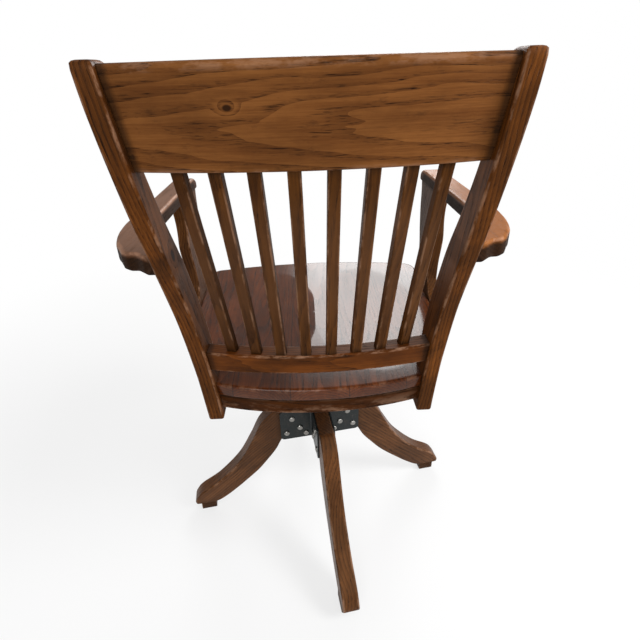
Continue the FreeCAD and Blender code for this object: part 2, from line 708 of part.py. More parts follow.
def makeSpring():
    """Wire wound into open turns: a pipe along quarter turns of a helix."""
    radius, wire = size("spring_mid_radius"), size("spring_wire")
    low, tall = cup_top + wire / 2, size("spring_long") - wire
    turns = size("spring_turns")
    climb = tall / turns
    center = V(0, size("rod_y"), 0)
    quarters = int(round(4 * turns))

    def at(step):
        turned = step * math.pi / 2
        point = center + V(radius * math.cos(turned), radius * math.sin(turned),
                           low + climb * step / 4)
        way = V(-math.sin(turned) * radius, math.cos(turned) * radius, climb / (2 * math.pi))
        way.normalize()
        return point, way

    edges = []
    for step in range(quarters):
        point, way = at(step)
        next_point, next_way = at(step + 1)
        edges += biarc(point, way, next_point, next_way)
    path = Part.Wire(edges)
    point, way = at(0)
    sides = int(size("spring_sides"))
    up = (UP - way * way.z).normalize()
    corners = [point + FreeCAD.Rotation(way, 360 / sides * k).multVec(up) * (wire / 2)
               for k in range(sides)]
    section = Part.makePolygon(corners + corners[:1])
    spring = doc.addObject("Part::Feature", "tilt_spring")
    spring.Shape = path.makePipeShell([section], True, False)
    print("spring: turns %d, gap between turns %.2f mm" % (turns, climb - wire))
    return keep("tilt_spring", spring)


def makeTensionRod():
    y, z = size("rod_y"), size("rod_pin_z")
    eye = cylinder("rod_eye", "Sizes.rod_eye_radius - Sizes.run_gap", "Sizes.rod_eye_wide",
                   V(-size("rod_eye_wide") / 2, y, z), toX())
    shaft = cylinder("rod_shaft", "Sizes.rod_radius", "Sizes.rod_pin_z - Sizes.rod_low",
                     V(0, y, size("rod_low")))
    pin_hole = cylinder("rod_pin_hole", "Sizes.rod_pin_radius + Sizes.pin_gap",
                        "Sizes.rod_eye_wide", V(-size("rod_eye_wide") / 2, y, z), toX())
    keep("tension_rod", cut("tension_rod", fuse("rod_blank", [eye, shaft]), [pin_hole]))
    side = (size("rod_eye_wide") / 2 + size("run_gap") + size("ear_thick")
            + size("rod_pin_proud"))
    keep("rod_pin", cylinder("rod_pin", "Sizes.rod_pin_radius",
                             "Sizes.rod_eye_wide + 2 * (Sizes.run_gap + Sizes.ear_thick"
                             " + Sizes.rod_pin_proud)", V(-side, y, z), toX()))

    bore = size("rod_radius") + size("run_gap")
    cup = newBody("spring_cup")
    pad(cup, "XY_Plane", circle(0, y, size("cup_radius")) + circle(0, y, bore),
        "Sizes.cup_thick", offset=cup_top - size("cup_thick"))
    keep("spring_cup", cup)

    wheel = newBody("hand_wheel")
    pad(wheel, "XY_Plane", circle(0, y, size("wheel_radius")), "Sizes.wheel_tall",
        offset=wheel_top - size("wheel_tall"))
    count = int(size("wheel_scoops"))
    for index in range(count):
        around = 2 * math.pi * index / count
        reach = size("wheel_radius") + size("wheel_scoop_out")
        pocket(wheel, "XY_Plane",
               circle(reach * math.cos(around), y + reach * math.sin(around),
                      size("wheel_scoop_radius")),
               "Sizes.wheel_tall", offset=wheel_top - size("wheel_tall"), reverse=True,
               name="scoop_%d" % (index + 1))
    pocket(wheel, "XY_Plane", circle(0, y, bore), "Sizes.wheel_tall",
           offset=wheel_top - size("wheel_tall"), reverse=True, name="bore")
    keep("hand_wheel", wheel)


# Posts: boards that lean outwards, drawn flat in their own plane. The rear edge is a slow curve
# that stands upright at the seat and again at the crest. Its points are shares of the post's
# height and of the depth of its foot, behind the heel.
POST_REAR = [(0.115, -0.13), (0.185, -0.16), (0.335, -0.08), (0.435, 0.10), (0.635, 0.56),
             (0.78, 0.80), (0.905, 0.91)]
POST_FRONT = [(0.905, 0.11), (0.775, -0.09), (0.635, -0.44), (0.49, -0.92), (0.28, -1.23)]


def makePost():
    foot, top = size("post_foot"), size("post_top")
    tall = (top - foot) / math.cos(lean)
    heel, deep, bevel = size("post_heel"), size("post_deep"), size("post_foot_bevel")
    turn = size("post_top_round")
    skew = turn * (1 - math.sqrt(0.5))
    top_rear, top_front = heel + size("post_top_rear"), heel + size("post_top_front")
    post = newBody("post_blank")
    rear = [(heel + behind * deep, tall * share) for share, behind in POST_REAR]
    front = [(heel + behind * deep, tall * share) for share, behind in POST_FRONT]
    pad(post, "YZ_Plane", outline((heel - deep + bevel, 0), [
        ("line", (heel - bevel, 0)),
        ("line", (heel, bevel)),
        ("curve", rear, (top_rear, tall - turn)),
        ("arc", (top_rear - skew, tall - skew), (top_rear - turn, tall)),
        ("line", (top_front + turn, tall)),
        ("arc", (top_front + skew, tall - skew), (top_front, tall - turn)),
        ("curve", front, (heel - deep, bevel)),
        ("line", (heel - deep + bevel, 0))]), "Sizes.post_thick")
    post.Placement = FreeCAD.Placement(
        V(postInner(foot), 0, foot), FreeCAD.Rotation(ALONG_Y, size("post_lean")))
    return post


def bentBoard(name, rear, radius, thick, half, low, height, slope=0.0):
    """A board with curved faces, as wide as 2 * half, whose middle reaches furthest back. Its
    top lies behind its underside by slope times its height."""
    edge = onCircle(rear, radius, half)
    front_edge = onCircle(rear - thick, radius - thick, half)
    body = newBody(name)
    board = pad(body, "XY_Plane", outline((-half, edge), [
        ("arc", (0, rear), (half, edge)),
        ("line", (half, front_edge)),
        ("arc", (0, rear - thick), (-half, front_edge)),
        ("line", (-half, edge))]), height, offset=low)
    board.UseCustomVector = True
    board.Direction = V(0, slope, 1)
    board.AlongSketchNormal = True
    return body


def makeSlats():
    """Square sticks that fan out from the lower rail to the crest and stand square to the row."""
    rail_top = size("rail_low") + size("rail_tall")
    count = int(size("slat_count"))
    slats = []
    for index in range(count):
        place = index - (count - 1) / 2
        low_x, high_x = place * size("slat_pitch_low"), place * size("slat_pitch_high")
        low_rear = size("rail_rear") - size("slat_inset")
        high_rear = size("crest_rear") - size("slat_inset")
        low = V(-low_x, onCircle(low_rear, size("slat_curve_low"), low_x), rail_top)
        high = V(-high_x, onCircle(high_rear, size("slat_curve_high"), high_x), size("crest_low"))
        way = high - low
        way.normalize()
        across = V(1, -low.x / size("slat_curve_low"), 0)
        turn = FreeCAD.Rotation(across, V(), way, "ZXY")
        span = (high - low).Length + 2 * size("slat_tenon")
        start = low - way * size("slat_tenon")
        stick = doc.addObject("Part::Box", "slat_%d_blank" % (index + 1))
        stick.setExpression("Length", "Sizes.slat_wide")
        stick.setExpression("Width", "Sizes.slat_thick")
        stick.Height = span
        offset = turn.multVec(V(-size("slat_wide") / 2, -size("slat_thick"), 0))
        stick.Placement = FreeCAD.Placement(start + offset, turn)
        name = "slat_%d" % (index + 1)
        slats.append(keep(name, eased(name, stick, lambda e: abs(e.Length - span) < 1e-3,
                                      size("slat_ease"))))
    return slats


def makeBack(posts):
    rail_end = (postInner(size("rail_low") + size("rail_tall")) + postOuter(size("rail_low"))) / 2
    crest_end = (postInner(size("crest_low") + size("crest_tall"))
                 + postOuter(size("crest_low"))) / 2
    slats = makeSlats()
    rail = bentBoard("lower_rail_blank", size("rail_rear"),
                     bowRadius(size("rail_sag"), size("rail_half")), size("rail_thick"),
                     rail_end, size("rail_low"), "Sizes.rail_tall")
    crest = bentBoard("crest_blank", size("crest_rear"),
                      bowRadius(size("crest_sag"), size("crest_half")), size("crest_thick"),
                      crest_end, size("crest_low"), "Sizes.crest_tall",
                      math.tan(math.radians(size("crest_slope"))))
    crest_top = size("crest_low") + size("crest_tall")
    roundEdges(crest, lambda e: e.BoundBox.ZMin > crest_top - 1e-3 and e.Length > 100,
               "Sizes.crest_round")
    keep("lower_rail", cut("lower_rail", rail, posts + slats))
    keep("crest_rail", cut("crest_rail", crest, posts + slats))


# Arms: a straight rail with a rounded front end, which widens behind into a paddle that meets
# the outer face of the post. The paddle's points are shares of its length, from arm_swell to
# the arm's rear end, and of the arm's width, inside the straight part's edge.
PADDLE_OUTER = [(0.318, 0.136), (0.608, 0.432), (0.723, 0.659), (0.851, 0.909), (0.892, 1.045),
                (0.905, 1.341), (1, 1.773)]
PADDLE_INNER = [(0.669, 0.9), (0.52, 0.682), (0.264, 0.227), (-0.047, 0)]
NOSE_BEND = 0.3
NOSE_DROP = 0.9


def makeArm():
    wide = size("arm_wide")
    inner = size("arm_inner")
    outer = inner + wide
    front, low = size("arm_front"), size("arm_top") - size("arm_thick")
    swell, end = size("arm_swell"), size("post_heel") + size("arm_behind")
    at_post = postOuter(size("arm_top")) - size("post_thick") / 2
    edge = [(outer - away * wide, swell + share * (end - swell)) for share, away in PADDLE_OUTER]
    hollow = [(inner - away * wide, swell + share * (end - swell))
              for share, away in PADDLE_INNER]
    arm = newBody("arm_blank")
    turn = size("arm_corner")
    skew = turn * (1 - math.sqrt(0.5))
    pad(arm, "XY_Plane", outline((inner, front + turn), [
        ("arc", (inner + skew, front + skew), (inner + turn, front)),
        ("line", (outer - turn, front)),
        ("arc", (outer - skew, front + skew), (outer, front + turn)),
        ("line", (outer, swell)),
        ("arc", edge[0], edge[1]),
        ("arc", edge[2], edge[3]),
        ("arc", edge[4], edge[5]),
        ("line", edge[6]),
        ("line", (at_post, end)),
        ("line", (at_post, hollow[0][1])),
        ("curve", hollow[1:3], hollow[3]),
        ("line", (inner, front + turn))]), "Sizes.arm_thick", offset=low)
    nose, top = size("arm_nose"), size("arm_top")
    bend, drop = size("arm_thick") * NOSE_BEND, size("arm_thick") * NOSE_DROP
    pocket(arm, "YZ_Plane", outline((front - turn, top + turn), [
        ("line", (front + nose, top + turn)),
        ("line", (front + nose, top)),
        ("arc", (front + nose * NOSE_BEND, top - bend), (front, top - drop)),
        ("line", (front - turn, top - drop)),
        ("line", (front - turn, top + turn))]),
        "4 * (Sizes.arm_inner + Sizes.arm_wide)", symmetric=True, name="nose")
    return arm


# Supports: leaning boards with a waist, let into the seat's edge. Points are shares of the
# height up to the arm and of the length in the seat's edge, behind support_front.
SUPPORT_FRONT = [(0.162, 0.056), (0.342, 0), (0.522, -0.16), (0.72, -0.309), (0.882, -0.407)]
SUPPORT_REAR = [(0.72, 0.432), (0.558, 0.537), (0.333, 0.556), (0.162, 0.611)]
SUPPORT_TIP = (0.978, -0.488)
SUPPORT_SHOULDER = (0.847, 0.389)
SUPPORT_HEEL = [(0.027, 0.827), (-0.009, 0.951), (-0.09, 1)]


def makeSupport():
    """Outline in the board's own plane, from the seat's top upwards: front edge, then rear."""
    up = 1 / math.cos(support_slope)
    seat = size("seat_top")
    arm_low = size("arm_top") - size("arm_thick")
    top = (arm_low + size("support_let_in") - seat) * up
    foot = (size("support_foot") - seat) * up
    start, long = size("support_front"), size("support_long")

    def at(point):
        return start + point[1] * long, point[0] * top

    shoulder, heel = at(SUPPORT_SHOULDER), [at(p) for p in SUPPORT_HEEL]
    board = newBody("support_blank")
    pad(board, "YZ_Plane", outline((start, foot), [
        ("line", (start, 0)),
        ("curve", [at(p) for p in SUPPORT_FRONT], at(SUPPORT_TIP)),
        ("line", (at(SUPPORT_TIP)[0], top)),
        ("line", (shoulder[0], top)),
        ("line", shoulder),
        ("curve", [at(p) for p in SUPPORT_REAR], heel[0]),
        ("arc", heel[1], heel[2]),
        ("line", (start + long, foot)),
        ("line", (start, foot))]), "Sizes.support_thick")
    board.Placement = FreeCAD.Placement(V(size("support_half"), 0, seat),
                                        FreeCAD.Rotation(ALONG_Y, size("support_lean")))
    return board


# Seat: a board with a bowed front, slightly waisted sides and rear corners that end inside the
# posts, over a band of the same outline.

def seatOutline():
    front, bow, corner = size("seat_front"), size("front_bow"), size("front_corner")
    half, waist, waist_y = size("seat_half"), size("waist_half"), size("waist_y")
    rear, sag, turn = size("seat_rear"), size("rear_sag"), size("corner_long")
    side = postOuter(band_low) - size("seat_in_post")
    at_post = postOuter(band_low) - size("post_thick") * 0.38
    rear_side = onCircle(rear, bowRadius(sag, size("rail_half")), at_post)
    corner_y, post_front = front + bow, size("seat_post_front")
    right = [("arc", (corner + 0.735 * (half - corner), corner_y + 0.29 * turn),
              (half, corner_y + turn)),
             ("arc", (half - 0.58 * (half - waist), (corner_y + turn + waist_y) / 2),
              (waist, waist_y)),
             ("arc", (waist - 0.233 * (waist - side), waist_y + 0.63 * (post_front - waist_y)),
              (side, post_front)),
             ("line", (at_post, post_front + size("post_thick") / 2)),
             ("line", (at_post, rear_side))]
    left = []
    points = [(corner, corner_y)] + [step[-1] for step in right]
    for index in range(len(right) - 1, -1, -1):
        step, end = right[index], points[index]
        mirrored_end = (-end[0], end[1])
        if step[0] == "arc":
            left.append(("arc", (-step[1][0], step[1][1]), mirrored_end))
        else:
            left.append(("line", mirrored_end))
    return outline((-corner, corner_y), [("arc", (0, front), (corner, corner_y))] + right
                   + [("arc", (0, rear), (-at_post, rear_side))] + left)


def insetBoard(name, source, inset, height, low):
    """A board with the source sketch's outline moved inwards."""
    shrunk = doc.addObject("Part::Offset2D", name + "_outline")
    shrunk.Source = source
    shrunk.setExpression("Value", inset)
    board = doc.addObject("Part::Extrusion", name)
    board.Base = shrunk
    board.Dir = UP
    board.setExpression("LengthFwd", height)
    board.Solid = True
    board.Placement = FreeCAD.Placement(V(0, 0, low), FreeCAD.Rotation())
    return board


SUPPORT_SCREWS = [0.19, 0.75]


def makeSideScrews():
    """Screws through the supports and the posts into the edge of the seat board."""
    z = size("seat_top") - size("board_thick") / 2
    support_face = (size("support_half") + size("support_thick") / math.cos(support_slope)
                    - math.tan(support_slope) * (size("seat_top") - z))
    places = [(size("support_front") + share * size("support_long"), support_face)
              for share in SUPPORT_SCREWS]
    places.append((size("post_heel") - size("side_screw_heel"), postOuter(z)))
    screws = []
    for index, (y, face) in enumerate(places):
        for side in (1, -1):
            tag = "side_screw_%d_%s" % (index + 1, "left" if side > 0 else "right")
            turn = FreeCAD.Rotation(ALONG_Y, -90 * side)
            start = V(side * (face - size("side_screw_plug")), y, z)
            shank = prism(tag + "_shank", "Sizes.shank_sides", "Sizes.side_screw_radius",
                          "Sizes.support_thick + Sizes.side_screw_bite", start, turn)
            head = prism(tag + "_head", "Sizes.head_sides", "Sizes.side_screw_head",
                         "Sizes.side_screw_head_tall", start, turn)
            screws.append(fuse(tag, [shank, head]))
    return screws


def makeSeat(iron_screws):
    post = makePost()
    arm_blank = makeArm()
    post_screws = makeSideScrews()
    keep("back_post_left", cut("back_post_left", post, post_screws[4:5]))
    keep("back_post_right", cut("back_post_right", mirrorX("post_twin", post), post_screws[5:6]))
    posts = [post, nodes["back_post_right"].Base]

    arm_left = keep("arm_left", cut("arm_left", arm_blank, [post]))
    keep("arm_right", mirrorX("arm_right", arm_left))
    support = cut("support_trimmed", makeSupport(), [arm_blank])
    twin = mirrorX("support_twin", support)
    keep("arm_support_left", cut("arm_support_left", support, post_screws[0:4:2]))
    keep("arm_support_right", cut("arm_support_right", twin, post_screws[1:4:2]))

    board = newBody("seat_board")
    board_edges = seatOutline()
    pad(board, "XY_Plane", board_edges, "Sizes.board_thick", offset=board_low)
    top = size("seat_top")
    hollows = []
    deep = size("saddle_deep")
    reach = (size("saddle_long") ** 2 + deep ** 2) / (2 * deep)
    across = "((Sizes.saddle_wide ^ 2 + Sizes.saddle_deep ^ 2) / (2 * Sizes.saddle_deep))"
    along = "((Sizes.saddle_long ^ 2 + Sizes.saddle_deep ^ 2) / (2 * Sizes.saddle_deep))"
    for side, name in ((1, "left"), (-1, "right")):
        hollow = doc.addObject("Part::Torus", "thigh_hollow_" + name)
        hollow.setExpression("Radius1", along + " - " + across)
        hollow.setExpression("Radius2", across)
        hollow.Placement = FreeCAD.Placement(
            V(side * size("saddle_apart"), size("saddle_y"), top - deep + reach),
            FreeCAD.Rotation(ALONG_Y, -90))
        hollows.append(hollow)
    dished = cut("seat_dished", board, [fuse("thigh_hollows", hollows)])
    around = posts + [support, twin] + post_screws
    keep("seat", cut("seat", dished, around + iron_screws))

    plan = doc.addObject("Part::Feature", "band_plan")
    plan.Shape = Part.Wire([e.toShape() for e in board_edges])
    outer = insetBoard("band_outer", plan, "-Sizes.band_inset", "Sizes.band_tall", band_low)
    inner = insetBoard("band_inner", plan, "-Sizes.band_inset - Sizes.band_wide",
                       "Sizes.band_tall", band_low)
    ring = cut("band_ring", outer, [inner])
    keep("seat_band", cut("seat_band", ring, posts + [support, twin]))
    keep("side_screws", group("side_screws", post_screws))
    return posts


def checkAll():
    doc.recompute()
    for piece in doc.Objects:
        if "Invalid" in piece.State or "Error" in piece.State:
            raise RuntimeError(piece.Label + " is in state " + str(piece.State))
    for name, piece in nodes.items():
        if piece.Shape.isNull() or not piece.Shape.isValid() or not piece.Shape.Solids:
            raise RuntimeError(name + " has no valid solid")


def exportAll():
    os.makedirs("parts", exist_ok=True)
    for name, piece in nodes.items():
        piece.Shape.exportStep(os.path.join("parts", name + ".step"))
    print("pieces:", len(nodes), "solids:", sum(len(p.Shape.Solids) for p in nodes.values()))


makeBase()
makeHeightScrew()
makeYoke()
iron_screws = makeSeatIron()
makeSpring()
makeTensionRod()
makeBack(makeSeat(iron_screws))
checkAll()
exportAll()
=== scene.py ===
import json
import math

import bpy
import numpy as np
from mathutils import Matrix, Vector


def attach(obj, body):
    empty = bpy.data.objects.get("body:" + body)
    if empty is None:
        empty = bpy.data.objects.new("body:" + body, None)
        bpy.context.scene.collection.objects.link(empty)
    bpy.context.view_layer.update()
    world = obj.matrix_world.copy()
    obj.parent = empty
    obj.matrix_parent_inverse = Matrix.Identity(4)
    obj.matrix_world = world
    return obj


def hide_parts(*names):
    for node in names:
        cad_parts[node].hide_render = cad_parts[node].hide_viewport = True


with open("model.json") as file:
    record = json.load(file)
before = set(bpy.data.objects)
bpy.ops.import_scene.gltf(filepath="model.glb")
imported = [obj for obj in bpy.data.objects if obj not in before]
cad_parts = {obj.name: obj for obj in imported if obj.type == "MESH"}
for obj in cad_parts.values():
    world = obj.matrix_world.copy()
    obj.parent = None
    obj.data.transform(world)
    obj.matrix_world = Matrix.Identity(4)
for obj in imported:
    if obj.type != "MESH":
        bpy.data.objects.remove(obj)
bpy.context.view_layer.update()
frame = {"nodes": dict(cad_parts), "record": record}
print("frame loaded:", len(frame["nodes"]), "nodes")

mm = 0.001  # shapes are worked out in millimetres


# Shader maths: numbers and sockets mix freely in expressions

class Signal:
    # a socket that can be added, multiplied and passed on like a number
    def __init__(self, tree, socket=None):
        self.tree = tree
        self.socket = socket

    def make(self, kind, settings=None, inputs=None, out=0):
        node = self.tree.nodes.new(kind)
        for key, value in (settings or {}).items():
            if key == "stops":
                ramp = node.color_ramp
                while len(ramp.elements) < len(value):
                    ramp.elements.new(0.5)
                for element, (place, colour) in zip(ramp.elements, value):
                    element.position = place
                    element.color = colour
            else:
                setattr(node, key, value)
        for key, value in (inputs or {}).items():
            if isinstance(value, Signal):
                self.tree.links.new(value.socket, node.inputs[key])
            else:
                node.inputs[key].default_value = value
        return Signal(self.tree, node.outputs[out])

    def calc(self, operation, *values):  # one Math node
        return self.make("ShaderNodeMath", {"operation": operation}, dict(enumerate(values)))

    def __add__(self, other):
        return self.calc("ADD", self, other)

    def __radd__(self, other):
        return self.calc("ADD", other, self)

    def __sub__(self, other):
        return self.calc("SUBTRACT", self, other)

    def __rsub__(self, other):
        return self.calc("SUBTRACT", other, self)

    def __mul__(self, other):
        return self.calc("MULTIPLY", self, other)

    def __rmul__(self, other):
        return self.calc("MULTIPLY", other, self)

    def __truediv__(self, other):
        return self.calc("DIVIDE", self, other)

    def __pow__(self, other):
        return self.calc("POWER", self, other)

    def step(self, low, high):  # smooth rise from 0 at low to 1 at high
        return self.make("ShaderNodeMapRange", {"interpolation_type": "SMOOTHSTEP"},
                         {0: self, 1: low, 2: high, 3: 0.0, 4: 1.0})

    def parts(self):
        split = self.make("ShaderNodeSeparateXYZ", None, {0: self})
        outputs = split.socket.node.outputs
        return [Signal(self.tree, outputs[i]) for i in range(3)]

    def stretch(self, x, y, z):  # the vector with its axes scaled
        return self.make("ShaderNodeVectorMath", {"operation": "MULTIPLY"}, {0: self, 1: (x, y, z)})

    def noise(self, scale, detail=2.0, roughness=0.5):  # cloudy pattern between 0 and 1
        return self.make("ShaderNodeTexNoise", {"noise_dimensions": "3D"},
                         {"Vector": self, "Scale": scale, "Detail": detail,
                          "Roughness": roughness})


def vectorOf(tools, x, y, z):  # three numbers as one vector
    return tools.make("ShaderNodeCombineXYZ", None, {0: x, 1: y, 2: z})


def blendColour(tools, amount, under, over):  # under at amount 0, over at amount 1
    asColour = [c if isinstance(c, Signal) else (*c, 1.0) for c in (under, over)]
    return tools.make("ShaderNodeMix", {"data_type": "RGBA"},
                      {0: amount, 6: asColour[0], 7: asColour[1]}, out=2)


def newMaterial(name):
    material = bpy.data.materials.new(name)
    material.use_nodes = True
    tree = material.node_tree
    return material, tree.nodes["Principled BSDF"], Signal(tree)


def feed(shader, tools, name, value):  # a link for a signal, else a plain value
    if isinstance(value, Signal):
        tools.tree.links.new(value.socket, shader.inputs[name])
    else:
        shader.inputs[name].default_value = value


# Oak. The "board" attribute holds a place in the plank: x across, y through, z along the grain.
# "marks" holds three masks: edge wear with a painted edge highlight, 1 on arrises; polish, 1 where
# hands and clothes polish, on the arm tops also a painted highlight; painted shade, 1 in corners,
# joints and undersides.

oakLook = {
    "dark": (0.024, 0.0078, 0.0024),
    "mid": (0.092, 0.023, 0.0036),
    "light": (0.225, 0.066, 0.0100),
    "pore": (0.012, 0.0045, 0.002),
    # worn: light arris colour, edge wear plus a painted edge highlight
    "worn": (0.42, 0.24, 0.15),
    # rubbed: polish colour, on the arm tops also a painted highlight
    "rubbed": (0.30, 0.165, 0.105),
    # grimy: dark colour of painted shade, random dirt and plank seams
    "shadeDirtAndSeam": (0.010, 0.006, 0.004),
    "ringGap": 0.0052,
    "pithDepth": 0.07,
    "taper": 0.035,
    "waver": 0.03,
    "poreAmount": 0.95,
    "wearAmount": 0.45,
    "rubAmount": 0.7,
    "blotchAmount": 0.5,
    "roughness": 0.44,
    "specular": 0.08,
    "coat": 0.0,
    "coatRoughness": 0.25,
    "plank": 0.0,
    "knot": None,
}


def oakMaterial(name, **changes):
    look = {**oakLook, **changes}
    material, shader, tools = newMaterial(name)
    board = tools.make("ShaderNodeAttribute", {"attribute_name": "board"}, out="Vector")
    marks = tools.make("ShaderNodeAttribute", {"attribute_name": "marks"}, out="Vector")
    wear, polishAndHighlight, paintedShade = marks.parts()
    x, y, z = board.parts()
    seam = None
    if look["plank"]:  # glued planks, each cut from another place in the log
        scaled = x / look["plank"] + 0.5
        index = scaled.calc("FLOOR", scaled)
        within = scaled - index - 0.5
        lot = index.make("ShaderNodeTexWhiteNoise", {"noise_dimensions": "1D"}, {"W": index}, out=0)
        seam = within.calc("ABSOLUTE", within).step(0.490, 0.4975)
        x, y, z = within * look["plank"] + lot * 0.05 - 0.025, y + lot * 0.03, z + lot * 7.3
    place = vectorOf(tools, x, y, z)
    broad = place.stretch(7.0, 7.0, 2.4).noise(1.0, 2.0) - 0.5
    fine = place.stretch(34.0, 34.0, 6.0).noise(1.0, 3.0) - 0.5
    # ring surfaces are cones about the pith, so a flat board shows arches
    ringX = x + broad * look["waver"]
    ringY = y + look["pithDepth"] + z * look["taper"] - (z * look["taper"]).calc(
        "FLOOR", z * look["taper"] / 0.05) * 0.05
    rings = (ringX * ringX + ringY * ringY) ** 0.5 / look["ringGap"] + broad * 3.0 + fine * 1.3
    knot = None
    if look["knot"]:
        knotX, knotZ, knotSize = look["knot"]
        away = ((x - knotX) * (x - knotX) + (z - knotZ) * (z - knotZ) * 0.45) ** 0.5
        away = away / knotSize + fine * 0.5
        knot = 1.0 - away.step(0.6, 1.1)
        rings = rings + (1.0 - away.step(0.4, 3.2)) * 1.6
    turn = rings.calc("FRACT", rings)
    early = 1.0 - turn.step(0.05, 0.55)
    late = turn.step(0.4, 0.98)
    fibre = place.stretch(420.0, 420.0, 11.0).noise(1.0, 4.0, 0.62)
    streak = place.stretch(75.0, 75.0, 3.0).noise(1.0, 3.0, 0.6)
    blotch = place.stretch(14.0, 14.0, 7.0).noise(1.0, 5.0, 0.62)
    poreFine = place.stretch(820.0, 820.0, 62.0).noise(1.0, 2.0).step(0.55, 0.66)
    poreWide = place.stretch(360.0, 360.0, 26.0).noise(1.0, 2.0).step(0.56, 0.68)
    pores = (poreFine * 0.65 + poreWide * 0.75) * (early * 0.9 + 0.15) * look["poreAmount"]
    pores = pores.calc("MINIMUM", pores, 1.0)

    tone = (late * 0.10 + fibre * 0.62 + streak * 0.62 - 0.20).step(0.14, 0.80)
    colour = blendColour(tools, tone, look["mid"], look["light"])
    deep = (1.0 - blotch.step(0.36, 0.62)) * look["blotchAmount"] + early * 0.26
    colour = blendColour(tools, deep.calc("MINIMUM", deep, 1.0), colour, look["dark"])
    colour = blendColour(tools, pores, colour, look["pore"])
    if knot is not None:
        colour = blendColour(tools, knot * 0.92, colour, look["pore"])
    # polish lightens the rubbed places; on the arm tops it is also a painted highlight
    polishAndHighlightMix = polishAndHighlight * (blotch * 0.8 + streak * 0.7 + 0.1).step(0.35, 0.9) * look["rubAmount"]
    colour = blendColour(tools, polishAndHighlightMix, colour, look["rubbed"])
    # arrises lighter: edge wear plus a painted edge highlight
    scuff = place.stretch(55.0, 55.0, 22.0).noise(1.0, 4.0, 0.7)
    edgeWearAndGlintMix = wear * scuff.step(0.44, 0.62) * look["wearAmount"]
    colour = blendColour(tools, edgeWearAndGlintMix, colour, look["worn"])
    # painted shade in corners, joints and undersides, plus random dirt patches, darkens the colour
    shadeAndDirt = paintedShade + (1.0 - scuff.step(0.30, 0.42)) * 0.35
    shadeAndDirt = shadeAndDirt.calc("MINIMUM", shadeAndDirt, 1.0)
    colour = blendColour(tools, shadeAndDirt * 0.85, colour, look["shadeDirtAndSeam"])
    if seam is not None:
        colour = blendColour(tools, seam * 0.75, colour, look["shadeDirtAndSeam"])
    feed(shader, tools, "Base Color", colour)
    feed(shader, tools, "Roughness",
         look["roughness"] + pores * 0.3 - polishAndHighlightMix * 0.08 + (scuff - 0.5) * 0.2 + shadeAndDirt * 0.2)
    height = fibre * 0.25 - pores * 1.0 + late * 0.1 + scuff * 0.3
    bump = tools.make("ShaderNodeBump", None,
                      {"Strength": 0.5, "Distance": 0.0006, "Height": height})
    feed(shader, tools, "Normal", bump)
    feed(shader, tools, "Coat Weight", look["coat"])
    feed(shader, tools, "Coat Roughness", look["coatRoughness"])
    feed(shader, tools, "Specular IOR Level", look["specular"])
    feed(shader, tools, "Specular Tint", (1.0, 0.72, 0.48, 1.0))
    return material


metalLook = {
    "colour": (0.02, 0.02, 0.02),
    "rust": (0.10, 0.045, 0.02),
    "bright": (0.30, 0.29, 0.27),
    "metallic": 0.9,
    "roughness": 0.45,
    "rustAmount": 0.3,
    "rubAmount": 0.2,
}


def metalMaterial(name, **changes):
    look = {**metalLook, **changes}
    material, shader, tools = newMaterial(name)
    place = tools.make("ShaderNodeTexCoord", None, None, out="Object")
    patch = place.noise(60.0, 5.0, 0.62)
    speck = place.noise(420.0, 3.0, 0.6)
    rust = (patch.step(0.5, 0.72) * 0.7 + speck.step(0.58, 0.7) * 0.5) * look["rustAmount"]
    rubbed = speck.step(0.5, 0.8) * patch.step(0.35, 0.6) * look["rubAmount"]
    colour = blendColour(tools, rust, look["colour"], look["rust"])
    colour = blendColour(tools, rubbed, colour, look["bright"])
    feed(shader, tools, "Base Color", colour)
    feed(shader, tools, "Metallic", look["metallic"] - rust * 0.8)
    feed(shader, tools, "Roughness", look["roughness"] + rust * 0.4 + (patch - 0.5) * 0.25)
    bump = tools.make("ShaderNodeBump", None, {"Strength": 0.4, "Distance": 0.0004,
                                               "Height": patch * 0.6 + speck * 0.4})
    feed(shader, tools, "Normal", bump)
    return material


# Mesh tools

def smoothCurve(points, count):
    # a Catmull-Rom curve through the points, sampled evenly by length
    p = np.asarray(points, float)
    padded = np.vstack([2 * p[0] - p[1], p, 2 * p[-1] - p[-2]])
    t = np.linspace(0, 1, 24, endpoint=False)[:, None]
    runs = []
    for a, b, c, d in zip(padded[:-3], padded[1:-2], padded[2:-1], padded[3:]):
        runs.append(0.5 * (2 * b + (c - a) * t + (2 * a - 5 * b + 4 * c - d) * t ** 2
                           + (3 * b - a - 3 * c + d) * t ** 3))
    return evenly(np.vstack(runs + [p[-1:]]), count)


def evenly(points, count):
    # the same line with its points at equal distances
    p = np.asarray(points, float)
    far = np.concatenate([[0], np.cumsum(np.linalg.norm(np.diff(p, axis=0), axis=1))])
    want = np.linspace(0, far[-1], count)
    return np.stack([np.interp(want, far, p[:, k]) for k in range(p.shape[1])], axis=1)


def wander(count, seed, knots=9):
    # a smooth line that wanders between -1 and 1
    rng = np.random.default_rng(seed)
    return np.interp(np.linspace(0, knots, count), np.arange(knots + 1),
                     rng.uniform(-1, 1, knots + 1))


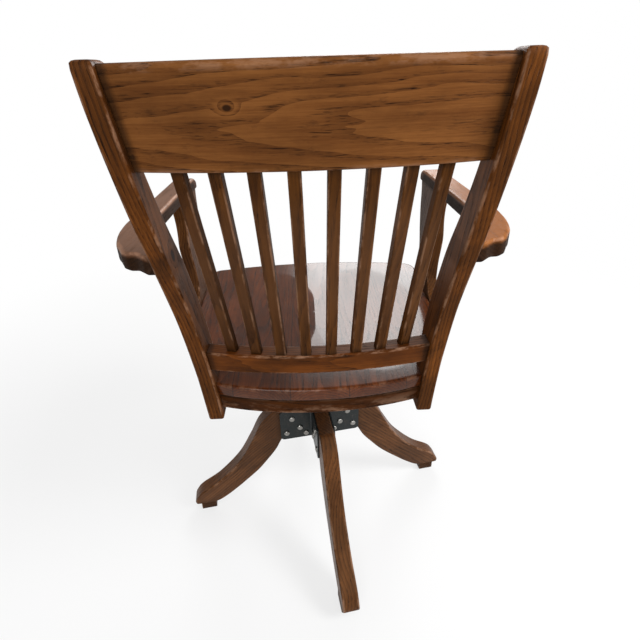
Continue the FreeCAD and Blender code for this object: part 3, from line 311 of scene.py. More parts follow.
def roundedSection(cornerSteps=5, flat=(-0.93, -0.6, -0.2, 0.2, 0.6, 0.93)):
    # a rounded rectangle as core (share of the straight half sides) plus offset (share of radius)
    core, offset, arris = [], [], []
    corners = [((1, 1), 0), ((-1, 1), 90), ((-1, -1), 180), ((1, -1), 270)]
    for index, (corner, start) in enumerate(corners):
        for k in range(cornerSteps):
            angle = math.radians(start + 90 * k / (cornerSteps - 1))
            core.append(corner)
            offset.append((math.cos(angle), math.sin(angle)))
            arris.append(1.0 if 0 < k < cornerSteps - 1 else 0.55)
        following = corners[(index + 1) % 4][0]
        for share in flat:
            w = (share + 1) / 2
            core.append((corner[0] * (1 - w) + following[0] * w,
                         corner[1] * (1 - w) + following[1] * w))
            angle = math.radians(start + 90)
            offset.append((math.cos(angle), math.sin(angle)))
            arris.append(0.0)
    return np.array(core, float), np.array(offset, float), np.array(arris)


def threeTimes(row):
    return np.repeat(row, 3, axis=0)


def sweep(centre, across, deep, halfA, halfB, radius, endRound=2.0, seed=1, wornArris=0.1):
    # a rounded rectangle carried along a path, with rounded ends; returns rings and the arris mask
    # for edge wear with a painted edge highlight
    centre, across, deep = [np.asarray(v, float) for v in (centre, across, deep)]
    n = len(centre)
    halfA, halfB, radius = [np.broadcast_to(np.asarray(v, float), (n,)).copy()
                            for v in (halfA, halfB, radius)]
    radius = radius * (1 + wornArris * wander(n, seed, 14))
    along = np.gradient(centre, axis=0)
    along /= np.linalg.norm(along, axis=1)[:, None]
    if endRound:
        startRound, stopRound = endRound if isinstance(endRound, tuple) else (endRound, endRound)
        steps = np.radians(np.array([0, 30, 60]))
        shrink, push = startRound * (1 - np.sin(steps)), startRound * np.cos(steps)
        shrinkEnd = stopRound * (1 - np.sin(steps[::-1]))
        pushEnd = stopRound * np.cos(steps[::-1])
        head = centre[:1] + along[:1] * (startRound - push)[:, None]
        last = centre[-1:] - along[-1:] * (stopRound - pushEnd)[:, None]
        inner = slice(1, -1)
        centre = np.vstack([head, centre[inner], last])
        across = np.vstack([threeTimes(across[:1]), across[inner], threeTimes(across[-1:])])
        deep = np.vstack([threeTimes(deep[:1]), deep[inner], threeTimes(deep[-1:])])
        halfA = np.concatenate([halfA[0] - shrink, halfA[inner], halfA[-1] - shrinkEnd])
        halfB = np.concatenate([halfB[0] - shrink, halfB[inner], halfB[-1] - shrinkEnd])
        radius = np.concatenate([np.full(3, radius[0]), radius[inner], np.full(3, radius[-1])])
    core, offset, arris = roundedSection()
    radius = np.minimum(radius, np.minimum(halfA, halfB) * 0.98)
    a = core[None, :, 0] * (halfA - radius)[:, None] + offset[None, :, 0] * radius[:, None]
    b = core[None, :, 1] * (halfB - radius)[:, None] + offset[None, :, 1] * radius[:, None]
    rings = centre[:, None] + across[:, None] * a[..., None] + deep[:, None] * b[..., None]
    wear = np.broadcast_to(arris[None], a.shape).copy()
    if endRound:
        wear[:2] = np.maximum(wear[:2], 0.6)
        wear[-2:] = np.maximum(wear[-2:], 0.6)
    return rings, wear


def buildPiece(name, rings, wear, board, body, replaced, material, polishAndHighlight=None, paintedShade=None,
               closed=False):
    # rings (n, m, 3) become a closed skin; board, the polish mask (on the arm tops also a painted
    # highlight) and the painted shade mask are functions of position in mm
    n, m, _ = rings.shape
    verts = rings.reshape(-1, 3)
    i, j = np.meshgrid(np.arange(n if closed else n - 1), np.arange(m), indexing="ij")
    nextI, nextJ = (i + 1) % n, (j + 1) % m
    quads = np.stack([i * m + j, i * m + nextJ, nextI * m + nextJ, nextI * m + j], axis=-1)
    faces = [tuple(q) for q in quads.reshape(-1, 4).tolist()]
    marks = wear.reshape(-1)
    if not closed:
        ends = np.stack([rings[0].mean(axis=0), rings[-1].mean(axis=0)])
        verts = np.vstack([verts, ends])
        marks = np.concatenate([marks, [0.2, 0.2]])
        low, high, start = n * m, n * m + 1, (n - 1) * m
        faces += [((k + 1) % m, k, low) for k in range(m)]
        faces += [(start + k, start + (k + 1) % m, high) for k in range(m)]
    return finishPiece(name, verts, faces, marks, board, body, replaced, material, polishAndHighlight,
                       paintedShade)


def finishPiece(name, verts, faces, wear, board, body, replaced, material, polishAndHighlight=None,
                paintedShade=None):
    # makes the mesh with its attributes and gives the piece to its body, node and slot
    mesh = bpy.data.meshes.new(name)
    mesh.from_pydata((verts * mm).tolist(), [], faces)
    mesh.update()
    if volumeOf(verts, faces) < 0:
        mesh.flip_normals()
    mesh.polygons.foreach_set("use_smooth", np.ones(len(mesh.polygons), bool))
    place = mesh.attributes.new("board", "FLOAT_VECTOR", "POINT")
    place.data.foreach_set("vector", np.ascontiguousarray(board(verts) * mm, np.float32).ravel())
    rubbed = np.zeros(len(verts)) if polishAndHighlight is None else polishAndHighlight(verts)
    paintedShadeValues = np.zeros(len(verts)) if paintedShade is None else paintedShade(verts)
    marks = mesh.attributes.new("marks", "FLOAT_VECTOR", "POINT")
    marks.data.foreach_set("vector", np.stack([wear, rubbed, paintedShadeValues], 1).astype(np.float32).ravel())
    mesh.materials.append(material)
    piece = bpy.data.objects.new(name, mesh)
    bpy.context.scene.collection.objects.link(piece)
    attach(piece, body)
    if replaced:
        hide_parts(replaced)
    return piece


def volumeOf(verts, faces):
    # a sixth of the sum of a . (b x c) over the triangles; negative when faces point inwards
    triangles = np.array([(f[0], f[k], f[k + 1]) for f in faces for k in range(1, len(f) - 1)])
    a, b, c = verts[triangles[:, 0]], verts[triangles[:, 1]], verts[triangles[:, 2]]
    return np.einsum("ij,ij->i", a, np.cross(b, c)).sum() / 6


def plankBoard(along, across, centre, shift=(0, 0, 0)):
    # rigid plank coordinates: x across, y through, z along the grain, moved by shift
    along = np.asarray(along, float) / np.linalg.norm(along)
    across = np.asarray(across, float) - along * np.dot(across, along)
    across /= np.linalg.norm(across)
    through = np.cross(along, across)
    return lambda v: np.stack([(v - centre) @ across + shift[0], (v - centre) @ through + shift[1],
                               (v - centre) @ along + shift[2]], axis=1)


def mirrorX(points):
    return points * np.array([-1.0, 1.0, 1.0])


def easeUp(value, low, high):
    # smooth rise from 0 at low to 1 at high: t squared times (3 - 2 t)
    t = np.clip((value - low) / (high - low), 0, 1)
    return t * t * (3 - 2 * t)


# Legs

legSizes = {
    "turn": 8.6, "thick": 34, "reach": 317, "shoulder": 105, "armpit": 88, "toe": 30,
    "low": 196, "top": 281, "inner": 20, "sole": 22, "heel": 262, "radius": 3.6,
    "topSweep": [(0.165, 0.876), (0.283, 0.677), (0.439, 0.454), (0.684, 0.239), (0.91, 0.112)],
    "underSweep": [(0.118, 0.822), (0.249, 0.651), (0.396, 0.479), (0.574, 0.32), (0.781, 0.15),
                   (0.959, 0.03)],
}


def legProfile():
    # the leg's upper and lower edges as lines of (distance from the middle, height)
    s = legSizes
    over = [(s["shoulder"] + u * (s["reach"] - s["shoulder"]), s["toe"] + w * (s["top"] - s["toe"]))
            for u, w in s["topSweep"]]
    under = [(s["armpit"] + u * (s["heel"] - 4 - s["armpit"]),
              s["sole"] + w * (s["low"] - s["sole"]))
             for u, w in s["underSweep"]]
    topHub = evenly([(s["inner"], s["top"]), (s["shoulder"] - 4, s["top"])], 8)
    topRun = smoothCurve([(s["shoulder"] - 4, s["top"]), (s["shoulder"] + 6, s["top"] - 2)] + over
                         + [(s["reach"] - 3, s["toe"] + 8)], 60)
    topToe = smoothCurve([(s["reach"] - 3, s["toe"] + 8), (s["reach"], s["toe"] + 1),
                          (s["reach"] - 1, s["toe"] - 4)], 8)
    lowHub = evenly([(s["inner"], s["low"]), (s["armpit"] - 4, s["low"])], 8)
    lowRun = smoothCurve([(s["armpit"] - 4, s["low"]), (s["armpit"] + 5, s["low"] - 2)] + under
                         + [(s["heel"] + 4, s["sole"])], 60)
    lowToe = evenly([(s["heel"] + 4, s["sole"]), (s["reach"] - 4, s["sole"])], 8)
    return np.vstack([topHub, topRun[1:], topToe[1:]]), np.vstack([lowHub, lowRun[1:], lowToe[1:]])


def makeLegs():
    # a rounded section carried between the two edges of the profile, four times about the hub
    s = legSizes
    upper, lower = legProfile()
    for index, side in enumerate(["left", "rear", "right", "front"]):
        angle = math.radians(s["turn"] + 90 * index)
        out = np.array([math.cos(angle), math.sin(angle), 0])
        across = np.array([-math.sin(angle), math.cos(angle), 0])
        high = out * upper[:, :1] + np.array([0, 0, 1]) * upper[:, 1:]
        low = out * lower[:, :1] + np.array([0, 0, 1]) * lower[:, 1:]
        deep = high - low
        half = np.linalg.norm(deep, axis=1)
        rings, wear = sweep((high + low) / 2, np.repeat(across[None], len(high), 0),
                            deep / half[:, None], s["thick"] / 2, half / 2, s["radius"], 1.5,
                            seed=20 + index)
        grain = out * 0.78 - np.array([0, 0, 1]) * 0.62
        material = oakMaterial("legOak_" + side, light=(0.150, 0.058, 0.019), pithDepth=0.09,
                               mid=(0.074, 0.025, 0.0075), roughness=0.40, specular=0.22)
        # arris mask (edge wear plus painted edge highlight), stronger towards the feet
        worn = wear * (0.35 + 0.65 * easeUp(np.linalg.norm(rings[..., :2], axis=-1), 90, 300))
        # painted shade darkens the legs near the hub and along their bottoms
        buildPiece("legOak_" + side, rings, worn, plankBoard(grain, deep[30], out * 150,
                   (0, 30 * index, 900 * index)), "base", "leg_" + side, material,
                   paintedShade=lambda v: easeUp(-np.linalg.norm(v[:, :2], axis=1), -110, -92) * 0.5
                   + easeUp(-v[:, 2], -34, -22) * 0.4)


# Posts

postSizes = {
    "lean": 6.97, "thick": 25, "footHalf": 192, "foot": 447, "top": 1004, "heel": 216,
    "radius": 3.2, "endRounds": (2.5, 6.0),
    "rear": [(0.0, 0), (0.05, -3.2), (0.115, -6.5), (0.185, -8), (0.335, -4), (0.435, 5),
             (0.635, 28),
             (0.78, 40), (0.905, 45.5), (0.985, 44.5), (1.0, 44)],
    "front": [(0.0, -48), (0.05, -53), (0.28, -61.5), (0.49, -46), (0.635, -22), (0.775, -4.5),
              (0.905, 5.5), (0.985, 5), (1.0, 4.5)],
}
leanTan = math.tan(math.radians(postSizes["lean"]))


def postOuter(z):  # half the width over the posts, growing with height by the lean
    return postSizes["footHalf"] + leanTan * (z - postSizes["foot"])


def postInner(z):
    return postOuter(z) - postSizes["thick"] / math.cos(math.radians(postSizes["lean"]))


def makePosts():
    # a rounded section whose front and rear edges follow two curves of the height
    s = postSizes
    tall = s["top"] - s["foot"]
    rear, front = smoothCurve(s["rear"], 400), smoothCurve(s["front"], 400)
    share = np.concatenate([[0.0, 0.006], np.linspace(0.012, 0.982, 110), [1.0]])
    yRear = s["heel"] + np.interp(share, rear[:, 0], rear[:, 1])
    yFront = s["heel"] + np.interp(share, front[:, 0], front[:, 1])
    z = s["foot"] + share * tall
    x = (postOuter(z) + postInner(z)) / 2
    leanAngle = math.radians(s["lean"])
    across = np.repeat([[1.0, 0, 0]], len(z), 0)
    deep = np.repeat([[0, 1, 0]], len(z), 0)
    centre = np.stack([x, (yRear + yFront) / 2, z], 1)
    for side, name in ((1, "left"), (-1, "right")):
        rings, wear = sweep(centre, across, deep, s["thick"] / 2 / math.cos(leanAngle),
                            (yRear - yFront) / 2, s["radius"], s["endRounds"],
                            seed=31 if side > 0 else 37)
        rings = rings if side > 0 else mirrorX(rings)
        along = np.array([side * leanTan, 0.05, 1.0])
        material = oakMaterial("postOak_" + name, dark=(0.022, 0.008, 0.003),
                               light=(0.175, 0.055, 0.0100),
                               mid=(0.070, 0.0205, 0.0036), pithDepth=0.03,
                               knot=(-0.004, 0.430, 0.007) if side > 0 else None)
        # painted shade where the arm meets the post and at the post's foot below the seat
        buildPiece("postOak_" + name, rings, wear * 0.8, plankBoard(along, (0, 1, 0),
                   np.array([side * 220, 220, 720]), (10, 0, 400 if side > 0 else 2100)), "chair",
                   "back_post_" + name, material,
                   paintedShade=lambda v: easeUp(-np.abs(v[:, 2] - 745), -22, -14) * 0.35
                   + easeUp(-v[:, 2], -520, -505) * 0.3)


# Crest rail and lower rail

crestSizes = {"low": 879, "tall": 121, "thick": 27, "rear": 269, "sag": 28, "half": 225,
              "slope": 7.0, "topRound": 9.0, "lowRound": 3.0}
railSizes = {"low": 543, "tall": 34, "thick": 30, "rear": 222, "sag": 18, "half": 174,
             "slope": 0.0, "topRound": 3.5, "lowRound": 2.5}


def arcY(rear, radius, x):  # a circle that reaches y = rear at x = 0
    return rear - radius + np.sqrt(radius ** 2 - x ** 2)


def makeBentRail(name, s, replaced, material, stations, seed, shift):
    # a rounded rectangle along an arc whose ends follow the slant of the posts
    radius = (s["half"] ** 2 + s["sag"] ** 2) / (2 * s["sag"])
    share = np.linspace(-1, 1, stations)
    flat = np.array([-0.93, -0.6, -0.2, 0.2, 0.6, 0.93])
    core, offset, arris = roundedSection(6, flat)
    height = (core[None, :, 1] + 1) / 2
    rounding = ((1 - height) * s["lowRound"] + height * s["topRound"]) \
        * (1 + 0.08 * wander(stations, seed, 16))[:, None]
    rearAt = lambda z: s["rear"] + math.tan(math.radians(s["slope"])) * (z - s["low"])
    a = core[None, :, 0] * (s["thick"] / 2 - rounding) + offset[None, :, 0] * rounding
    b = core[None, :, 1] * (s["tall"] / 2 - rounding) + offset[None, :, 1] * rounding
    z = s["low"] + s["tall"] / 2 + b
    x = share[:, None] * (postInner(z) + 2.0)
    y = arcY(rearAt(z), radius, x) - s["thick"] / 2 + a
    rings = np.stack([x, y, z], axis=-1)
    wear = np.broadcast_to(arris[None], a.shape).copy()
    board = lambda v: np.stack([v[:, 2] - s["low"] - s["tall"] / 2 + shift[0],
                                v[:, 1] - arcY(rearAt(v[:, 2]), radius, np.clip(v[:, 0], -260, 260))
                                + shift[1], v[:, 0] + shift[2]], axis=1)
    # painted shade near the posts, where the rail meets them
    paintedShade = lambda v: easeUp(np.abs(v[:, 0]) - postInner(v[:, 2]), -14, -5) * 0.8
    return buildPiece(name, rings, wear, board, "chair", replaced, material, paintedShade=paintedShade)


def makeRails():
    crestOak = oakMaterial("crestOak", light=(0.220, 0.084, 0.022), mid=(0.112, 0.037, 0.009),
                           dark=(0.045, 0.014, 0.004), pithDepth=0.075, blotchAmount=0.35,
                           knot=(0.0245, 1.794, 0.0042), wearAmount=0.25)
    makeBentRail("crestOak", crestSizes, "crest_rail", crestOak, 120, 41, (12, 0, 1700))
    railOak = oakMaterial("railOak", light=(0.160, 0.046, 0.0075), mid=(0.072, 0.0185, 0.0032))
    makeBentRail("railOak", railSizes, "lower_rail", railOak, 80, 43, (0, 0, 2600))


# Slats

slatSizes = {"count": 8, "wide": 17, "thick": 13, "pitchLow": 40.5, "pitchHigh": 48.6, "inset": 2,
             "curveLow": 511, "curveHigh": 610, "tenon": 6, "radius": 2.0}


def makeSlats():
    # straight rounded bars between points on the two rails' arcs
    s = slatSizes
    lowZ, highZ = railSizes["low"] + railSizes["tall"], crestSizes["low"]
    material = oakMaterial("slatOak", light=(0.105, 0.036, 0.0065), mid=(0.042, 0.0135, 0.0026),
                           rubAmount=0.25, rubbed=(0.15, 0.07, 0.035))
    for index in range(s["count"]):
        place = -(index - (s["count"] - 1) / 2)
        xLow, xHigh = place * s["pitchLow"], place * s["pitchHigh"]
        low = np.array([xLow, arcY(railSizes["rear"] - s["inset"], s["curveLow"], xLow), lowZ])
        high = np.array([xHigh, arcY(crestSizes["rear"] - s["inset"], s["curveHigh"], xHigh),
                         highZ])
        along = (high - low) / np.linalg.norm(high - low)
        across = np.array([1, -xLow / s["curveLow"], 0])
        across = across - along * np.dot(across, along)
        across /= np.linalg.norm(across)
        deep = np.cross(along, across)
        if deep[1] < 0:
            deep = -deep
        length = np.linalg.norm(high - low)
        t = np.linspace(-s["tenon"], length + s["tenon"], 40)
        centre = low + along * t[:, None] - deep * s["thick"] / 2
        rings, wear = sweep(centre, np.repeat(across[None], 40, 0), np.repeat(deep[None], 40, 0),
                            s["wide"] / 2, s["thick"] / 2, s["radius"], 0, seed=50 + index)
        # painted shade at both ends, where the slats enter the rails
        buildPiece("slatOak_%d" % (index + 1), rings, wear * 0.7,
                   plankBoard(along, across, low, (15 * index, 9 * index, 700 * index)), "chair",
                   "slat_%d" % (index + 1), material,
                   polishAndHighlight=lambda v: easeUp(v[:, 2], 600, 700) * easeUp(-v[:, 2], -880, -780),
                   paintedShade=lambda v: easeUp(-v[:, 2], -590, -577) * 0.6
                   + easeUp(v[:, 2], 868, 882) * 0.5)


# Seat

seatSizes = {"top": 512, "thick": 22, "bandTall": 29, "bandWide": 42, "bandInset": 2,
             "front": -280, "bow": 22, "corner": 232, "half": 266, "waist": 256, "waistY": -40,
             "rear": 227, "sag": 25, "edge": 4.0, "hollowDeep": 8.5, "hollowWide": 118,
             "hollowLong": 205, "hollowApart": 112, "hollowY": -25, "inPost": 2, "cornerInPost": 14,
             "postFront": 163, "rearHalf": 174}


def arcThrough(a, b, c, count):
    # points of the circle arc from a through b to c
    a, b, c = [np.asarray(p, float) for p in (a, b, c)]
    m = np.array([b - a, c - a]) * 2
    centre = np.linalg.solve(m, [b @ b - a @ a, c @ c - a @ a])
    angles = [math.atan2(*(p - centre)[::-1]) for p in (a, b, c)]
    sweepAngle = (angles[2] - angles[0]) % (2 * math.pi)
    if (angles[1] - angles[0]) % (2 * math.pi) > sweepAngle:
        sweepAngle -= 2 * math.pi
    t = angles[0] + np.linspace(0, 1, count) * sweepAngle
    return centre + np.linalg.norm(a - centre) * np.stack([np.cos(t), np.sin(t)], 1)


def seatOutline():
    # arcs and lines of the right half and their mirror image, sampled evenly
    s = seatSizes
    bandLow = s["top"] - s["thick"] - s["bandTall"]
    side = postOuter(bandLow) - s["inPost"]
    atPost = postOuter(bandLow) - s["cornerInPost"]
    sagRadius = (s["rearHalf"] ** 2 + s["sag"] ** 2) / (2 * s["sag"])
    rearSide = arcY(s["rear"], sagRadius, atPost)
    cornerY = s["front"] + s["bow"]
    middle = ((s["half"] + s["waist"]) / 2 - 0.8, (cornerY + 38 + s["waistY"]) / 2)
    runs = [arcThrough((0, s["front"]), (s["corner"] / 2, arcFront(s["corner"] / 2)),
                       (s["corner"], cornerY), 40),
            arcThrough((s["corner"], cornerY), (s["corner"] + 25, cornerY + 11),
                       (s["half"], cornerY + 38), 14),
            arcThrough((s["half"], cornerY + 38), middle, (s["waist"], s["waistY"]), 24),
            arcThrough((s["waist"], s["waistY"]), (s["waist"] - 15, 88),
                       (side, s["postFront"]), 30),
            evenly([(side, s["postFront"]), (atPost, rearSide)], 10),
            arcThrough((atPost, rearSide), (atPost / 2, arcY(s["rear"], sagRadius, atPost / 2)),
                       (0, s["rear"]), 30)]
    right = np.vstack([r[:-1] for r in runs] + [[[0, s["rear"]]]])
    left = right[1:-1][::-1] * [-1, 1]
    return evenly(np.vstack([right, left, right[:1]]), 321)[:-1]


def arcFront(x):  # the seat's bowed front edge
    s = seatSizes
    radius = (s["corner"] ** 2 + s["bow"] ** 2) / (2 * s["bow"])
    return s["front"] + radius - math.sqrt(radius ** 2 - x ** 2)


def insetLoop(loop, inset):  # each point moved in, square to the line of its neighbours
    before, after = np.roll(loop, 1, axis=0), np.roll(loop, -1, axis=0)
    way = after - before
    way /= np.linalg.norm(way, axis=1)[:, None]
    normal = np.stack([-way[:, 1], way[:, 0]], 1)
    return loop + normal * inset


def saddle(x, y):  # depth of the two thigh hollows: a bowl of an ellipse on each side
    s = seatSizes
    total = 0
    for side in (1, -1):
        d = ((x - side * s["hollowApart"]) / s["hollowWide"]) ** 2 + ((y - s["hollowY"])
                                                                      / s["hollowLong"]) ** 2
        total = np.maximum(total, s["hollowDeep"] * np.clip(1 - d, 0, 1) ** 1.15)
    return total


def makeSeat():
    # rings of the outline from the middle of the underside round the edge to the middle on top
    s = seatSizes
    loop = seatOutline()
    if np.cross(loop[1] - loop[0], loop[2] - loop[1]) < 0:
        loop = loop[::-1]
    centre = np.array([0.0, -25.0])
    rings, wear = [], []

    def addRing(points, z, mark):
        zs = np.broadcast_to(z, (len(points),))
        rings.append(np.column_stack([points, zs]))
        wear.append(np.full(len(points), mark))

    bottom = s["top"] - s["thick"]
    for share in (0.02, 0.3, 0.6, 0.85):
        addRing(centre + (loop - centre) * share, bottom, 0.0)
    addRing(insetLoop(loop, 1.5), bottom, 0.3)
    addRing(insetLoop(loop, 0.3), bottom + 0.8, 0.5)
    addRing(loop, bottom + 2.2, 0.2)
    addRing(loop, s["top"] - s["edge"] - 5, 0.0)
    for angle in np.radians([0, 22, 45, 67, 90]):
        addRing(insetLoop(loop, s["edge"] * (1 - math.cos(angle))),
                s["top"] - s["edge"] * (1 - math.sin(angle)), 1.0 if 0 < angle < 1.5 else 0.5)
    inner = insetLoop(loop, s["edge"])
    for share in np.linspace(0.985, 0.015, 50):
        points = centre + (inner - centre) * share
        addRing(points, s["top"] - saddle(points[:, 0], points[:, 1]), 0.0)
    rings, wear = np.array(rings), np.array(wear)
    material = oakMaterial("seatOak", plank=0.098, light=(0.125, 0.031, 0.0065),
                           dark=(0.026, 0.0065, 0.0018),
                           mid=(0.066, 0.0155, 0.003), specular=0.03,
                           wearAmount=0.15, pithDepth=0.04, roughness=0.30,
                           coat=0.5, coatRoughness=0.15,
                           rubAmount=0.15, rubbed=(0.20, 0.075, 0.035))
    board = lambda v: np.stack([v[:, 0], v[:, 2] - s["top"], v[:, 1] + 3300], axis=1)
    polishAndHighlight = lambda v: easeUp(-v[:, 1], -40, 180) * easeUp(v[:, 2], 495, 500) * 0.55
    # painted shade on the underside and at the rear corners by the posts
    paintedShade = lambda v: (easeUp(-v[:, 2], -492.5, -490) * 0.7
                       + easeUp(np.abs(v[:, 0]), 168, 178) * easeUp(v[:, 1], 150, 168) * 0.5)
    buildPiece("seatOak", rings, wear, board, "chair", "seat", material, polishAndHighlight=polishAndHighlight,
               paintedShade=paintedShade)
    makeBand(loop)


def makeBand(loop):
    # a flat section carried round the seat's outline
    s = seatSizes
    high = s["top"] - s["thick"]
    low = high - s["bandTall"]
    outer = insetLoop(loop, s["bandInset"])
    inner = insetLoop(loop, s["bandInset"] + s["bandWide"])
    section = [(0, low + 2.5), (0.3, low + 1), (1.2, low), (s["bandWide"] - 1, low),
               (s["bandWide"], low + 1), (s["bandWide"], high), (6, high), (2.0, high),
               (1.0, high - 0.6), (0.2, high - 2.0), (0, high - 6)]
    rings = np.stack([np.column_stack([outer + (inner - outer) * (d / s["bandWide"]),
                                       np.full(len(loop), z)]) for d, z in section], axis=1)
    wear = np.broadcast_to(np.array([0.7, 1, 0.8, 0, 0, 0, 0, 0, 0.3, 0.4, 0]), rings.shape[:2])
    steps = np.linalg.norm(np.diff(np.vstack([outer, outer[:1]]), axis=0), axis=1)
    far = np.concatenate([[0], np.cumsum(steps)[:-1]])

    def board(v):
        along = np.repeat(far, len(section))[:len(v)]
        return np.stack([v[:, 2] - low, np.full(len(v), 5.0), along + 5200], axis=1)

    material = oakMaterial("bandOak", light=(0.080, 0.023, 0.004), mid=(0.036, 0.0100, 0.002),
                           specular=0.04,
                           pithDepth=0.02)
    # painted shade along the top, under the seat board
    buildPiece("bandOak", rings, wear.copy(), board, "chair", "seat_band", material,
               paintedShade=lambda v: easeUp(v[:, 2], high - 4, high - 1) * 0.9, closed=True)


# Arms and their supports

armSizes = {"top": 760, "thick": 30, "inner": 276, "wide": 44, "front": -277, "nose": 38,
            "radius": 5.0, "cornerRound": 8,
            "straightEnd": 66, "swell": 73, "innerBend": [(-10, 112), (-30, 150)],
            "outerBend": [(-6, 120), (-19, 163), (-29, 180), (-40, 199)],
            "paddleEnd": [(-40, 199), (-50, 206), (-61, 207), (-78, 221)],
            "postIn": 10, "postFront": 172, "postRear": 221}


def makeArms():
    # a rounded section between the inner and outer lines of the arm, dropping at the nose
    s = armSizes
    inner, outer = s["inner"], s["inner"] + s["wide"]
    straight = np.concatenate([[0, 1.2, 3, 5.5, 8.5, 12, 17, 23, 30, s["nose"]],
                               np.linspace(s["nose"] + 8, s["straightEnd"] - s["front"], 36)])
    y = s["front"] + straight
    pull = np.where(straight < s["cornerRound"],
                    s["cornerRound"] - np.sqrt(np.maximum(
                        s["cornerRound"] ** 2 - (s["cornerRound"] - straight) ** 2, 0)), 0)
    inLine = np.stack([inner + pull, y], 1)
    outLine = np.stack([outer - pull, y], 1)
    atPost = postOuter(s["top"]) - s["postIn"]
    beside = lambda edge, places: [(edge + x, y) for x, y in places]
    inBend = smoothCurve([(inner, s["straightEnd"])] + beside(inner, s["innerBend"])
                         + [(atPost, s["postFront"])], 26)[1:]
    outBend = smoothCurve([(outer, s["swell"])] + beside(outer, s["outerBend"]), 26)[1:]
    inEnd = evenly([(atPost, s["postFront"]), (atPost, s["postRear"])], 12)[1:]
    outEnd = smoothCurve(beside(outer, s["paddleEnd"]), 12)[1:]
    inside = np.vstack([inLine, inBend, inEnd])
    outside = np.vstack([outLine, outBend, outEnd])
    drop = np.zeros(len(inside))
    t = np.clip(straight / s["nose"], 0, 1)
    drop[:len(straight)] = s["thick"] * 0.88 * (1 - np.sqrt(1 - (1 - t) ** 2.1))
    top = s["top"] - drop
    low = s["top"] - s["thick"]
    wide = np.linalg.norm(outside - inside, axis=1)
    flat = (outside - inside) / wide[:, None]
    centre = np.column_stack([(inside + outside) / 2, (top + low) / 2])
    across = np.column_stack([flat, np.zeros(len(flat))])
    deep = np.repeat([[0, 0, 1.0]], len(flat), 0)
    for side, name in ((1, "left"), (-1, "right")):
        rings, wear = sweep(centre, across, deep, wide / 2, (top - low) / 2, s["radius"], 0,
                            seed=61 if side > 0 else 67)
        rings = rings if side > 0 else mirrorX(rings)
        # the arms' lighter tops are polish plus a painted highlight of the light falling on them
        if side > 0:
            colours = {"rubbed": (0.20, 0.105, 0.066), "light": (0.13, 0.050, 0.018)}
        else:
            colours = {"rubbed": (0.30, 0.105, 0.026), "light": (0.16, 0.055, 0.012)}
        material = oakMaterial("armOak_" + name, rubAmount=0.9, worn=(0.45, 0.24, 0.15),
                               wearAmount=0.5, pithDepth=0.05, **colours)
        # painted shade on the arm's lower sides and underside, less towards the front
        buildPiece("armOak_" + name, rings, wear, plankBoard((0, 1, 0), (1, 0, 0),
                   np.array([side * 298, 0, 745]), (0, 0, 6100 if side > 0 else 7400)), "chair",
                   "arm_" + name, material,
                   polishAndHighlight=lambda v: easeUp(v[:, 2], 750, 759),
                   paintedShade=lambda v: easeUp(-v[:, 2], -757, -751) * 0.9
                   * easeUp(v[:, 1], -262, -230) + easeUp(-v[:, 2], -752, -740) * 0.6)


supportSizes = {
    "thick": 24, "lean": 6.3, "half": 257, "seat": 512, "radius": 3.0,
    "front": [(-42, -192), (-2, -196), (36, -187), (76, -196), (116, -222), (160, -246),
              (196, -262), (218, -275)],
    "rear": [(-42, -34), (-20, -34), (-8, -36), (0, -46), (6, -62), (18, -80), (36, -97),
             (74, -106),
             (124, -109), (160, -126), (186, -133), (218, -133)],
}


def makeSupports():
    # a leaning board whose front and rear edges follow two curves of the height
    s = supportSizes
    slope = math.radians(s["lean"])
    front, rear = smoothCurve(s["front"], 300), smoothCurve(s["rear"], 300)
    up = np.linspace(-41.5, 219.5, 90)
    yFront = np.interp(up, np.maximum.accumulate(front[:, 0]), front[:, 1])
    yRear = np.interp(up, np.maximum.accumulate(rear[:, 0]), rear[:, 1])
    normal = np.array([math.cos(slope), 0, -math.sin(slope)])
    rise = np.array([math.sin(slope), 0, math.cos(slope)])
    base = np.array([s["half"], 0, s["seat"]]) + normal * s["thick"] / 2
    centre = base + rise * up[:, None] + np.array([0, 1, 0]) * ((yFront + yRear) / 2)[:, None]
    across = np.repeat(normal[None], len(up), 0)
    deep = np.repeat([[0, 1.0, 0]], len(up), 0)
    for side, name in ((1, "left"), (-1, "right")):
        rings, wear = sweep(centre, across, deep, s["thick"] / 2, (yRear - yFront) / 2, s["radius"],
                            1.0, seed=71 if side > 0 else 73)
        rings = rings if side > 0 else mirrorX(rings)
        material = oakMaterial("supportOak_" + name, light=(0.120, 0.044, 0.012),
                               mid=(0.058, 0.020, 0.0055), dark=(0.02, 0.008, 0.004))
        # painted shade at the top under the arm and at the foot by the seat
        buildPiece("supportOak_" + name, rings, wear * 0.8,
                   plankBoard((side * 0.11, 0, 1), (0, 1, 0),
                   np.array([side * 270, -160, 620]), (5, 0, 8200 if side > 0 else 9100)), "chair",
                   "arm_support_" + name, material,
                   paintedShade=lambda v: easeUp(v[:, 2], 722, 731) * 0.5
                   + easeUp(-v[:, 2], -520, -512) * 0.4)


# Iron and steel

